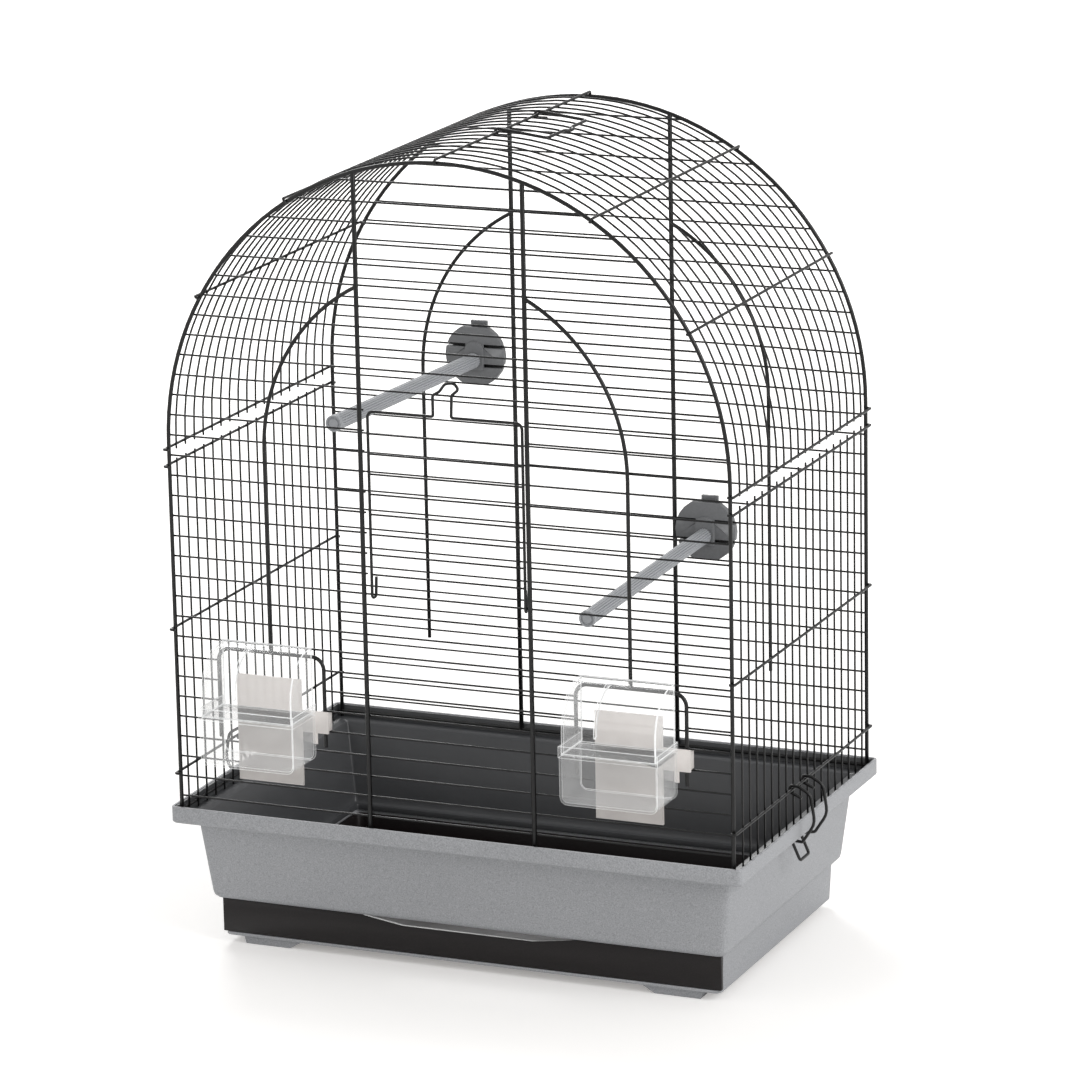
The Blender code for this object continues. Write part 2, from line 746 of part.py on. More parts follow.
def side_panel(name, side):
    """Upright wires behind four rails; the three upper rails hook round the frames."""
    rails = [
        hooked_rail((side * RAIL_X, 0, z), (-side, 0, 0))
        for z in (LOW_RAIL_Z, MIDDLE_RAIL_Z, TOP_RAIL_Z)
    ]
    end = FRAME_Y - FRAME_WIRE - FIT
    rails.append([(side * RAIL_X, y, BOTTOM_RAIL_Z) for y in (-end, end)])
    frame = wires(rails, RAIL_WIRE, 4)
    uprights = [
        [(side * GRID_X, grid_y(wire), z) for z in (WIRE_FOOT_Z, TOP_RAIL_Z + SIDE_TIP)]
        for wire in range(1, GRID_GAPS)
    ]
    return welded_panel(name, [frame], wires(uprights, GRID_WIRE, 4))


def hoop_run(wire):
    """A roof wire; the first and last have a point under each rail, which they are welded to."""
    foot_z = ROOF_EDGE_Z - SIDE_TIP
    centre = (0, SPRING_LINE_Z)
    if wire in (1, GRID_GAPS - 1):
        bends = (0.0, *ROOF_RAIL_ANGLES, 180.0)
        arch = [(GRID_X, SPRING_LINE_Z)]
        for start, end in zip(bends, bends[1:]):
            arch += arc(centre, GRID_X, start, end, 2)[1:]
    else:
        arch = arc(centre, GRID_X, 0, 180, HOOP_STEPS)
    path = [(GRID_X, foot_z), *arch, (-GRID_X, foot_z)]
    return [(x, grid_y(wire), z) for x, z in path]


def roof_panel():
    """Hoops under seven rails, with the two lowest along the roof's edges."""
    edges = [hooked_rail((side * RAIL_X, 0, ROOF_EDGE_Z), (-side, 0, 0)) for side in (-1, 1)]
    rails = [wires(edges, RAIL_WIRE, 4)]
    for angle in ROOF_RAIL_ANGLES:
        outwards = Vector((math.cos(math.radians(angle)), 0, math.sin(math.radians(angle))))
        place = Vector((0, 0, SPRING_LINE_Z)) + outwards * RAIL_X
        rails.append(wires([hooked_rail(place, -outwards)], RAIL_WIRE, 4, tilt=-angle))
    hoops = [hoop_run(wire) for wire in range(1, GRID_GAPS)]
    return welded_panel("roof_panel", rails, wires(hoops, GRID_WIRE, 4))


def front_door():
    """The flap: a bent frame with hooks round the hinge wire and a sprung catch on top."""
    hinge = Vector((0, -ROW_Y, row_z(HINGE_ROW, -1)))
    hook = GRID_WIRE + FIT + DOOR_WIRE
    top_z = hinge.z + DOOR_HEIGHT
    front_y = hinge.y - hook
    catch = CATCH_WIDTH / 2
    latch_z = row_z(LATCH_ROW, -1)
    crest = [
        (-catch, front_y, top_z),
        (-catch, front_y, latch_z),
        (-catch * 0.25, front_y, latch_z + CATCH_HEIGHT * 0.3),
        (catch * 0.4, front_y, latch_z + CATCH_HEIGHT * 0.9),
        (catch * 1.4, front_y, latch_z + CATCH_HEIGHT),
        (catch * 1.9, front_y, latch_z + CATCH_HEIGHT * 0.55),
        (catch * 1.1, front_y, latch_z + CATCH_HEIGHT * 0.1),
        (catch, front_y, top_z),
    ]
    left = DOOR_SHIFT - DOOR_HALF_WIDTH
    right = DOOR_SHIFT + DOOR_HALF_WIDTH

    def hook_points(x, lean):
        under = [(x + lean * i / 4, hinge.y + y, hinge.z + z)
                 for i, (y, z) in enumerate(arc((0, 0), hook, 360, 180, 4))]
        tail = (x + lean, hinge.y + hook, hinge.z + DOOR_TAIL)
        return [tail, *under]

    lean = DOOR_WIRE * 1.5
    left_hook = hook_points(left, lean)
    right_hook = hook_points(right, -lean)
    corners = rounded([left_hook[-1], (left, front_y, top_z), crest[0]], DOOR_CORNER)[1:-1]
    loop = rounded([corners[-1], *crest, (right, front_y, top_z)], CATCH_BEND, 2)[1:-1]
    ending = rounded([loop[-1], (right, front_y, top_z), right_hook[-1]], DOOR_CORNER)[1:-1]
    path = [*left_hook, *corners, *loop, *ending, *reversed(right_hook)]
    row_y = front_y + DOOR_WIRE + GRID_WIRE - WELD
    reach = DOOR_HALF_WIDTH - DOOR_WIRE / 10
    rows = [
        [(DOOR_SHIFT + end * reach, row_y, hinge.z + (i + 1) * DOOR_ROW_PITCH) for end in (-1, 1)]
        for i in range(DOOR_ROWS)
    ]
    obj = finished("front_door", wires([path], DOOR_WIRE), pivot=hinge)
    grid = helper("front_door_grid", wires(rows, GRID_WIRE, 4))
    boolean(obj, "UNION", grid)
    paint_wire(obj)
    return obj


def carry_handle():
    """A wire bail with two eyes round the ridge rail, folded down on the right of the roof."""
    eye = RAIL_WIRE + FIT + HANDLE_WIRE
    rest = GRID_X + GRID_WIRE + FIT + HANDLE_WIRE
    drop = math.acos((RAIL_X**2 + HANDLE_REACH**2 - rest**2) / (2 * RAIL_X * HANDLE_REACH))
    bar_x = HANDLE_REACH * math.sin(drop)
    bar_z = RIDGE_Z - HANDLE_REACH * math.cos(drop)
    near = (grid_y(HANDLE_FIRST_GAP) + grid_y(HANDLE_FIRST_GAP + 1)) / 2
    far = (grid_y(HANDLE_LAST_GAP) + grid_y(HANDLE_LAST_GAP + 1)) / 2
    middle = (near + far) / 2

    def eye_points(y):
        turn = arc((0, RIDGE_Z), eye, 270, 90, 4)
        return [(HANDLE_TAIL, y, RIDGE_Z - eye), *((x, y, z) for x, z in turn)]

    kink = HANDLE_KINK_WIDTH / 2
    bar = [
        (bar_x, near, bar_z),
        (bar_x, middle - kink, bar_z),
        (bar_x + HANDLE_KINK, middle - kink / 2, bar_z - HANDLE_KINK * 0.1),
        (bar_x + HANDLE_KINK, middle + kink / 2, bar_z - HANDLE_KINK * 0.1),
        (bar_x, middle + kink, bar_z),
        (bar_x, far, bar_z),
    ]
    first, last = eye_points(near), eye_points(far)
    across = rounded([first[-1], *bar, last[-1]], HANDLE_BEND, 2)
    path = [*first[:-1], *across, *reversed(last[:-1])]
    obj = finished("carry_handle", wires([path], HANDLE_WIRE, 4), pivot=(0, middle, RIDGE_Z))
    paint_wire(obj)
    return obj


def latch(name, side):
    """A wire latch: two eyes on the low rail, arms bowed out round the rim, and a finger tab."""
    eye = RAIL_WIRE + FIT + LATCH_WIRE
    bow_centre = (RAIL_X - LATCH_BOW_IN, LOW_RAIL_Z - LATCH_BOW_DROP)
    bow = arc(bow_centre, LATCH_BOW, 72, -50, 5)
    rim_x = RIM_WIDTH / 2
    knee = (rim_x + LATCH_WIRE * 2.1, RIM_FOOT_Z - LATCH_WIRE * 1.4)
    hook = (rim_x - LATCH_UNDER_RIM, RIM_FOOT_Z - LATCH_HOOK_DROP)
    tab = (hook[0] + LATCH_TAB_LENGTH * 0.53, hook[1] - LATCH_TAB_LENGTH * 0.85)

    def arm(y, tab_y):
        start = (RAIL_X, LOW_RAIL_Z)
        tail = (start[0] + LATCH_TAIL * 0.75, start[1] - eye - LATCH_TAIL * 0.45)
        turn = arc(start, eye, 260, 90, 4)
        profile = [tail, *turn, *bow, knee]
        points = [(side * x, y, z) for x, z in profile]
        bend = [points[-1], (side * hook[0], tab_y, hook[1]), (side * tab[0], tab_y, tab[1])]
        return points[:-1] + rounded(bend, 0.0012, 2)[:-1]

    near, far = LATCH_MIDDLE_Y - LATCH_HALF_WIDTH, LATCH_MIDDLE_Y + LATCH_HALF_WIDTH
    tab_near = LATCH_MIDDLE_Y - LATCH_TAB_WIDTH / 2
    tab_far = LATCH_MIDDLE_Y + LATCH_TAB_WIDTH / 2
    first, last = arm(near, tab_near), arm(far, tab_far)
    end = [first[-1], (side * tab[0], tab_near, tab[1]), (side * tab[0], tab_far, tab[1]), last[-1]]
    path = first[:-1] + rounded(end, 0.002, 2) + list(reversed(last[:-1]))
    pivot = (side * RAIL_X, LATCH_MIDDLE_Y, LOW_RAIL_Z)
    obj = finished(name, wires([path], LATCH_WIRE, 4), pivot=pivot)
    paint_wire(obj)
    return obj


def hood_outline(inset, top_inset, foot_z, rear_y):
    """The side view of the hood: flat back, round front."""
    front_y = feeder_rear_y() - FEEDER_DEPTH + inset
    top_z = HOOD_TOP_Z - top_inset
    radius = HOOD_CURVE - inset
    curve = arc((front_y + radius, top_z - radius), radius, 180, 90, 7)
    return [(rear_y, foot_z), (front_y, foot_z), *curve, (rear_y, top_z)]


def feeder_hood(name, middle):
    """The clear hood: open behind and below, with a rib inside and its foot in the cup's collar."""
    inset = COLLAR_WALL + FIT
    half = FEEDER_WIDTH / 2 - inset
    foot_z = COLLAR_Z + COLLAR_STEP + FIT
    rear = feeder_rear_y()
    outline = hood_outline(inset, 0.0, foot_z, rear)
    obj = finished(name, side_plate(outline, middle - half, middle + half))
    wall = inset + HOOD_WALL
    hollow = hood_outline(wall, HOOD_WALL, foot_z - 0.01, rear + 0.01)
    inner = half - HOOD_WALL
    cut(obj, side_plate(hollow, middle - inner, middle + inner), "inside")
    skin_line = inset + HOOD_WALL / 2
    root = hood_outline(skin_line, HOOD_WALL / 2, HOOD_RIB_Z, rear - HOOD_RIB)[1:]
    edge = hood_outline(wall + HOOD_RIB, HOOD_WALL + HOOD_RIB, HOOD_RIB_Z, rear - HOOD_RIB)[1:]
    rib_x = middle + HOOD_RIB_SHIFT
    rib = side_plate(root + list(reversed(edge)), rib_x - HOOD_WALL / 2, rib_x + HOOD_WALL / 2)
    join(obj, rib, "rib")
    paint_clear_plastic(obj)
    return obj


def cup_shape(middle, half, corner, floor_z, top_z, front_y, rear_y):
    """A block with rounded lower edges, as the cup's outside or its inside."""
    corners = [
        (middle - half, floor_z),
        (middle + half, floor_z),
        (middle + half, top_z),
        (middle - half, top_z),
    ]
    outline = rounded_outline(corners, (corner, corner, 0, 0), 4)
    return upright_plate(outline, front_y, rear_y)


def feeder_cup(name, middle):
    """The clear seed cup, whose collar takes the foot of the hood."""
    rear = feeder_rear_y()
    front = rear - FEEDER_DEPTH
    half = FEEDER_WIDTH / 2
    body = half - COLLAR_BAND
    body_front = front + COLLAR_BAND
    seat_z = COLLAR_Z + COLLAR_STEP
    outside = cup_shape(middle, body, CUP_CORNER, CUP_FOOT_Z, seat_z, body_front, rear - FIT)
    obj = finished(name, outside)
    join(obj, box((middle - half, front, COLLAR_Z), (middle + half, rear, CUP_TOP_Z)), "collar")
    inside = cup_shape(middle, body - CUP_WALL, CUP_CORNER - CUP_WALL, CUP_FOOT_Z + CUP_WALL,
                       CUP_TOP_Z + 0.01, body_front + CUP_WALL, rear - CUP_WALL)
    cut(obj, inside, "inside")
    seat_x = half - COLLAR_WALL
    seat = box((middle - seat_x, front + COLLAR_WALL, seat_z),
               (middle + seat_x, rear + 0.01, CUP_TOP_Z + 0.01))
    cut(obj, seat, "seat")
    paint_clear_plastic(obj)
    return obj


def feeder_bracket(name, middle):
    """The milky back plate, with an arm that clips round the right leg of the wire loop."""
    leg_x = middle + LOOP_HALF_WIDTH
    plate_x = middle + FEEDER_SHIFT
    half = BRACKET_WIDTH / 2
    face_y = -FRAME_Y - ARCH_WIRE - FIT
    front_y = face_y - BRACKET_THICKNESS
    low, high = (plate_x - half, front_y, BRACKET_FOOT_Z), (plate_x + half, face_y, BRACKET_TOP_Z)
    obj = finished(name, box(low, high))
    web_in = leg_x + ARCH_WIRE + FIT
    web_out = web_in + BRACKET_THICKNESS
    arm_low = (plate_x, front_y + FIT, BRACKET_ARM_Z)
    arm_high = (web_out, face_y - FIT / 2, BRACKET_ARM_Z + BRACKET_ARM_HEIGHT)
    join(obj, box(arm_low, arm_high), "arm")
    hook_x = leg_x - BRACKET_HOOK_X
    hook_low = (hook_x - BRACKET_HOOK_WIDTH, front_y + 2 * FIT, BRACKET_ARM_Z - BRACKET_HOOK_DROP)
    join(obj, box(hook_low, (hook_x, face_y - 2 * FIT, BRACKET_ARM_Z + FIT)), "hook")
    back_y = -FRAME_Y + ARCH_WIRE + FIT
    lip_y = back_y + BRACKET_THICKNESS
    clip = [
        (web_in, face_y - 0.001),
        (web_out - FIT / 2, face_y - 0.001),
        (web_out - FIT / 2, lip_y),
        (leg_x - ARCH_WIRE / 2, lip_y),
        (leg_x - ARCH_WIRE / 2, back_y),
        (web_in, back_y),
    ]
    under, over = row_z(LOOP_FIRST_ROW, -1), row_z(LOOP_FIRST_ROW + 1, -1)
    mesh = plate(clip, over - under - 2 * (GRID_WIRE + FIT))
    mesh.transform(Matrix.Translation((0, 0, (under + over) / 2)))
    join(obj, mesh, "clip")
    paint(obj, (0.72, 0.72, 0.71), 0.35, transmission=0.4)
    return obj


def feeder(label, side):
    loop_x = side * INNER_ARCH_RADIUS
    feeder_hood(f"{label}_feeder_hood", loop_x + FEEDER_SHIFT)
    feeder_cup(f"{label}_feeder_cup", loop_x + FEEDER_SHIFT)
    feeder_bracket(f"{label}_feeder_bracket", loop_x)


def disc_front_y():
    """The cage side of a perch disc, whose slots hold the rear panel's wires."""
    return ROW_Y - DISC_THICKNESS / 2


def perch_socket(name, x, z):
    """The inner disc: slots for two grid wires, flats for the next two, a boss and a spigot."""
    front = disc_front_y()
    rear = front + DISC_THICKNESS
    obj = finished(name, cylinder(DISC_RADIUS, front, rear, x, z), pivot=(x, front, z))
    flat = 1.5 * ROW_PITCH - GRID_WIRE - FIT
    slot = DISC_SLOT / 2
    boss = BOSS_WIDTH / 2
    for side in (-1, 1):
        low, high = sorted((side * flat, side * 2 * DISC_RADIUS))
        span = DISC_RADIUS + 0.01
        flats = box((x - span, front - 0.01, z + low), (x + span, rear + 0.01, z + high))
        cut(obj, flats, f"flat_{side}")
        wire_z = z + side * ROW_PITCH / 2
        groove = box((x - span, ROW_Y - slot, wire_z - slot), (x + span, rear + 0.01, wire_z + slot))
        cut(obj, groove, f"groove_{side}")
        for hand in (-1, 1):
            near, far = sorted((x + hand * boss, x + hand * span))
            open_slot = box((near, front - 0.01, wire_z - slot), (far, rear + 0.01, wire_z + slot))
            cut(obj, open_slot, f"slot_{side}_{hand}")
    foot_z = z - BOSS_HEIGHT / 2
    arch = arc((x, foot_z + BOSS_HEIGHT - boss), boss, 0, 180, 8)
    outline = [(x - boss, foot_z), (x + boss, foot_z), *arch]
    join(obj, upright_plate(outline, front - BOSS_THICKNESS, front + 0.001), "boss")
    hole_z = z - PERCH_DROP
    hole = cylinder(TENON_RADIUS + FIT, front - 0.01, front + TENON_LENGTH - BOSS_THICKNESS,
                    x, hole_z, 16)
    cut(obj, hole, "socket")
    spigot_end = rear + FIT + BACKPLATE_THICKNESS
    join(obj, cylinder(SPIGOT_RADIUS, rear - 0.001, spigot_end, x, z, 16), "spigot")
    paint(obj, (0.215, 0.22, 0.225), 0.6)
    return obj


def perch_backplate(name, x, z):
    """The outer disc behind the wires, on the spigot, with a finger tab on top."""
    low = disc_front_y() + DISC_THICKNESS + FIT
    high = low + BACKPLATE_THICKNESS
    obj = finished(name, cylinder(BACKPLATE_RADIUS, low, high, x, z), pivot=(x, low, z))
    hole = cylinder(SPIGOT_RADIUS + FIT, low - 0.01, high + 0.01, x, z, 16)
    cut(obj, hole, "hole")
    top = z + BACKPLATE_RADIUS + BACKPLATE_TAB
    left, right = BACKPLATE_TAB_X
    tab = box((x + left, low, z + BACKPLATE_RADIUS * 0.8), (x + right, high, top))
    join(obj, tab, "tab")
    paint(obj, (0.36, 0.365, 0.37), 0.55)
    return obj


def perch_rod(name, x, z, lean):
    """The fluted rod with a round tip, on a tenon in the socket."""
    flutes = [
        (PERCH_RADIUS - PERCH_FLUTE_DEPTH * (i % 2), math.tau * i / (2 * PERCH_FLUTES))
        for i in range(2 * PERCH_FLUTES)
    ]
    outline = [(r * math.cos(a), r * math.sin(a)) for r, a in flutes]
    tip = 0.0035
    rod = upright_plate(outline, -PERCH_LENGTH + tip, 0.0)
    start = disc_front_y() - BOSS_THICKNESS - FIT
    obj = finished(name, rod)
    cap = cylinder(PERCH_RADIUS + FIT / 2, -PERCH_LENGTH, -PERCH_LENGTH + tip + 0.0005, sides=20)
    tenon = cylinder(TENON_RADIUS, -0.001, TENON_LENGTH - FIT, sides=16)
    for mesh, label in ((cap, "tip"), (tenon, "tenon")):
        other = helper(f"{name}_{label}", mesh)
        other.parent = obj
        boolean(obj, "UNION", other)
    obj.location = (x, start, z - PERCH_DROP)
    obj.rotation_euler = (
        -math.asin(lean[1] / PERCH_LENGTH),
        0.0,
        math.asin(lean[0] / PERCH_LENGTH),
    )
    paint(obj, (0.42, 0.46, 0.49), 0.5)
    return obj


def perch(name, x, row, lean):
    z = (row_z(row) + row_z(row + 1)) / 2
    perch_socket(f"{name}_socket", x, z)
    perch_backplate(f"{name}_backplate", x, z)
    perch_rod(f"{name}_rod", x, z, lean)


base_shell()
litter_guard()
drawer()
front_panel()
rear_panel()
side_panel("left_side_panel", -1)
side_panel("right_side_panel", 1)
roof_panel()
front_door()
carry_handle()
latch("left_latch", -1)
latch("right_latch", 1)
feeder("left", -1)
feeder("right", 1)
for perch_sizes in PERCHES:
    perch(*perch_sizes)
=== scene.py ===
import math

import bmesh
import bpy
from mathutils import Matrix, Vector


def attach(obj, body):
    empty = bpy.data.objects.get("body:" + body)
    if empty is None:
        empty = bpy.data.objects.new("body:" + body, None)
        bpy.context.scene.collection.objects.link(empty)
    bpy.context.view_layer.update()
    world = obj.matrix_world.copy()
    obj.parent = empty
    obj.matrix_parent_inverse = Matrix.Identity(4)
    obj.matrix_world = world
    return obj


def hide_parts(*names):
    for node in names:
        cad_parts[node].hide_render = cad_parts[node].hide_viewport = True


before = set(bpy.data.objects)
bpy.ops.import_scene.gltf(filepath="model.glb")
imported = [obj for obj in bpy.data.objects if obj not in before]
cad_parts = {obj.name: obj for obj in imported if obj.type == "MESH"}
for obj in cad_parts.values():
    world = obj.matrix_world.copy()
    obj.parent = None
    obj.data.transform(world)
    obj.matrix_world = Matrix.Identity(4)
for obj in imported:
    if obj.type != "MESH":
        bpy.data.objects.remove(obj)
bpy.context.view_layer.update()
bpy.ops.object.select_all(action="DESELECT")


# Base shell
# One injection moulding in light grey polypropylene: rim, tapered skirt, plinth and feet.
# The mould was spark-eroded, which leaves a fine matt grain all over the outside.

def linear(hex_colour):
    """An sRGB hex colour as the linear RGBA that a shader takes."""
    values = [int(hex_colour[i:i + 2], 16) / 255 for i in (1, 3, 5)]
    return [v / 12.92 if v <= 0.04045 else ((v + 0.055) / 1.055) ** 2.4 for v in values] + [1.0]


def add_node(tree, kind, settings, links):
    """Adds a node with its settings, and its inputs linked to the given sockets."""
    node = tree.nodes.new(kind)
    for name, value in settings.items():
        if hasattr(node, name):
            setattr(node, name, value)
        else:
            node.inputs[name].default_value = value
    for name, socket in links.items():
        tree.links.new(socket, node.inputs[name])
    return node


def new_finish(name, roughness, ior=1.49):
    """A material with its shader, ready for the nodes of one finish."""
    finish = bpy.data.materials.new(name)
    finish.use_nodes = True
    shader = finish.node_tree.nodes["Principled BSDF"]
    shader.inputs["Roughness"].default_value = roughness
    shader.inputs["IOR"].default_value = ior
    place = finish.node_tree.nodes.new("ShaderNodeTexCoord").outputs["Object"]
    return finish, finish.node_tree, shader, place


def moulded_copy(node, name, edge, sharp=40.0, merge_flats=True, edge_finish=None):
    """The node's solid with the small radius that its mould leaves on each edge."""
    bpy.ops.object.select_all(action="DESELECT")
    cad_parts[node].select_set(True)
    bpy.context.view_layer.objects.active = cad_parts[node]
    bpy.ops.object.duplicate()
    piece = bpy.context.active_object
    piece.name = name
    bpy.ops.object.mode_set(mode="EDIT")
    bpy.ops.mesh.select_all(action="SELECT")
    bpy.ops.mesh.remove_doubles(threshold=0.00001)
    if merge_flats:
        bpy.ops.mesh.dissolve_limited(angle_limit=math.radians(2))
    bpy.ops.object.mode_set(mode="OBJECT")
    piece.modifiers.clear()
    rounding = piece.modifiers.new("mould radius", "BEVEL")
    rounding.width = edge
    rounding.segments = 3
    rounding.limit_method = "ANGLE"
    rounding.angle_limit = math.radians(sharp)
    rounding.harden_normals = True
    if edge_finish:
        piece.data.materials.append(edge_finish)
        rounding.material = 1
    bpy.ops.object.modifier_apply(modifier=rounding.name)
    bpy.ops.object.shade_smooth_by_angle(angle=math.radians(sharp - 5))
    return piece


def fit(piece, finish, body, slot, *nodes):
    """Gives the finished piece its material, and its place among the cage's bodies."""
    if piece.data.materials:
        piece.data.materials[0] = finish
    else:
        piece.data.materials.append(finish)
    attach(piece, body)
    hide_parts(*nodes)


grey_pp, tree, shader, place = new_finish("grey polypropylene, spark-eroded", 0.5)
# The grain is about 0.4 mm on the mould and is drawn at 0.8 mm, so that it shows.
grain = add_node(tree, "ShaderNodeTexNoise", {"Scale": 1300.0, "Detail": 3.0, "Roughness": 0.65},
                 {"Vector": place})
shade = add_node(tree, "ShaderNodeValToRGB", {}, {"Fac": grain.outputs["Fac"]})
shade.color_ramp.elements[0].position = 0.3
shade.color_ramp.elements[0].color = linear("#909194")
shade.color_ramp.elements[1].position = 0.7
shade.color_ramp.elements[1].color = linear("#bbbcbf")
# The melt's flow leaves broad, faint clouds.
flow = add_node(tree, "ShaderNodeTexNoise", {"Scale": 14.0, "Detail": 3.0}, {"Vector": place})
tint = add_node(tree, "ShaderNodeMapRange", {"To Min": 0.94, "To Max": 1.03},
                {"Value": flow.outputs["Fac"]})
mottle = add_node(tree, "ShaderNodeVectorMath", {"operation": "SCALE"},
                  {"Vector": shade.outputs["Color"], "Scale": tint.outputs["Result"]})
tree.links.new(mottle.outputs["Vector"], shader.inputs["Base Color"])
gloss = add_node(tree, "ShaderNodeMapRange", {"To Min": 0.42, "To Max": 0.6},
                 {"Value": grain.outputs["Fac"]})
tree.links.new(gloss.outputs["Result"], shader.inputs["Roughness"])
relief = add_node(tree, "ShaderNodeBump", {"Strength": 0.5, "Distance": 0.00015},
                  {"Height": grain.outputs["Fac"]})
tree.links.new(relief.outputs["Normal"], shader.inputs["Normal"])

base = moulded_copy("base_shell", "base_moulding", 0.0006)
fit(base, grey_pp, "cage", "grey_base", "base_shell")


# Litter guard
# A thin black polystyrene liner, vacuum-formed, that sits in the rim and lines the skirt.
# Forming leaves it satin and a little uneven.

black_liner, tree, shader, place = new_finish("black polystyrene, vacuum-formed", 0.36, 1.55)
haze = add_node(tree, "ShaderNodeTexNoise", {"Scale": 35.0, "Detail": 5.0}, {"Vector": place})
shade = add_node(tree, "ShaderNodeValToRGB", {}, {"Fac": haze.outputs["Fac"]})
shade.color_ramp.elements[0].color = linear("#454648")
shade.color_ramp.elements[1].color = linear("#505153")
tree.links.new(shade.outputs["Color"], shader.inputs["Base Color"])
gloss = add_node(tree, "ShaderNodeMapRange", {"To Min": 0.28, "To Max": 0.46},
                 {"Value": haze.outputs["Fac"]})
tree.links.new(gloss.outputs["Result"], shader.inputs["Roughness"])
ripple = add_node(tree, "ShaderNodeTexNoise", {"Scale": 420.0, "Detail": 2.0}, {"Vector": place})
relief = add_node(tree, "ShaderNodeBump", {"Strength": 0.2, "Distance": 0.0001},
                  {"Height": ripple.outputs["Fac"]})
tree.links.new(relief.outputs["Normal"], shader.inputs["Normal"])

guard = moulded_copy("litter_guard", "litter_guard_liner", 0.0004)
fit(guard, black_liner, "cage", "black_liner", "litter_guard")


# Drawer
# A black polystyrene tray with a lightly polished front, injection-moulded in one piece.
# It runs on the base's floor, and a finger hooks over the dip in its front.

black_drawer, tree, shader, place = new_finish("black polystyrene, lightly polished mould", 0.3, 1.59)
shader.inputs["Specular IOR Level"].default_value = 0.28
speck = add_node(tree, "ShaderNodeTexNoise", {"Scale": 900.0, "Detail": 2.0}, {"Vector": place})
shade = add_node(tree, "ShaderNodeValToRGB", {}, {"Fac": speck.outputs["Fac"]})
shade.color_ramp.elements[0].color = linear("#120e0e")
shade.color_ramp.elements[1].color = linear("#221c1c")
tree.links.new(shade.outputs["Color"], shader.inputs["Base Color"])
flow = add_node(tree, "ShaderNodeTexNoise", {"Scale": 25.0, "Detail": 3.0}, {"Vector": place})
gloss = add_node(tree, "ShaderNodeMapRange", {"To Min": 0.26, "To Max": 0.38},
                 {"Value": flow.outputs["Fac"]})
tree.links.new(gloss.outputs["Result"], shader.inputs["Roughness"])
relief = add_node(tree, "ShaderNodeBump", {"Strength": 0.15, "Distance": 0.00008},
                  {"Height": speck.outputs["Fac"]})
tree.links.new(relief.outputs["Normal"], shader.inputs["Normal"])

tray = moulded_copy("drawer", "drawer_tray", 0.0005)
fit(tray, black_drawer, "drawer", "black_drawer", "drawer")


# Front panel
# A thick arched frame carries two uprights, an inner arch, the feeder loops and thin rows.
# It is drawn steel wire, bent and spot-welded, then dipped in black enamel, which dries
# to a soft gloss that is a little uneven.

black_enamel, tree, shader, place = new_finish("steel wire, black enamel", 0.34, 1.5)
shader.inputs["Coat Weight"].default_value = 0.08
shader.inputs["Coat Roughness"].default_value = 0.25
dip = add_node(tree, "ShaderNodeTexNoise", {"Scale": 260.0, "Detail": 4.0}, {"Vector": place})
shade = add_node(tree, "ShaderNodeValToRGB", {}, {"Fac": dip.outputs["Fac"]})
shade.color_ramp.elements[0].color = linear("#030303")
shade.color_ramp.elements[1].color = linear("#0b0a0a")
tree.links.new(shade.outputs["Color"], shader.inputs["Base Color"])
gloss = add_node(tree, "ShaderNodeMapRange", {"To Min": 0.26, "To Max": 0.44},
                 {"Value": dip.outputs["Fac"]})
tree.links.new(gloss.outputs["Result"], shader.inputs["Roughness"])
relief = add_node(tree, "ShaderNodeBump", {"Strength": 0.25, "Distance": 0.00008},
                  {"Height": dip.outputs["Fac"]})
tree.links.new(relief.outputs["Normal"], shader.inputs["Normal"])

thick_wire = 0.0013
upright_wire = 0.0015
arch_wire = 0.00125
thin_wire = 0.00065

base_middle_y = 0.016725
frame_x = 0.1892
frame_y = 0.1213
frame_foot_z = 0.0884
bottom_wire_z = 0.0922
spring_z = 0.336
upright_x = 0.0563
upright_foot_z = 0.0909
upright_top_z = 0.5166
arch_x = 0.1225

row_y = 0.1196
row_pitch = 0.01324
row_heights = [0.1031 + row_pitch * row for row in range(32)]
weld_overlap = 0.0004


def start_wires(name):
    """An empty mesh, open for its wires."""
    bpy.ops.object.select_all(action="DESELECT")
    bpy.ops.mesh.primitive_cylinder_add(vertices=8, radius=thin_wire, depth=0.01)
    piece = bpy.context.active_object
    piece.name = name
    bpy.ops.object.mode_set(mode="EDIT")
    bpy.ops.mesh.select_all(action="SELECT")
    bpy.ops.mesh.delete(type="VERT")
    return piece


def straight_wire(start, end, radius, sides=10):
    """A cut length of wire between two points."""
    start, end = Vector(start), Vector(end)
    along = end - start
    bpy.ops.mesh.primitive_cylinder_add(
        vertices=sides, radius=radius, depth=along.length, location=(start + end) / 2,
        rotation=along.to_track_quat("Z", "Y").to_euler())


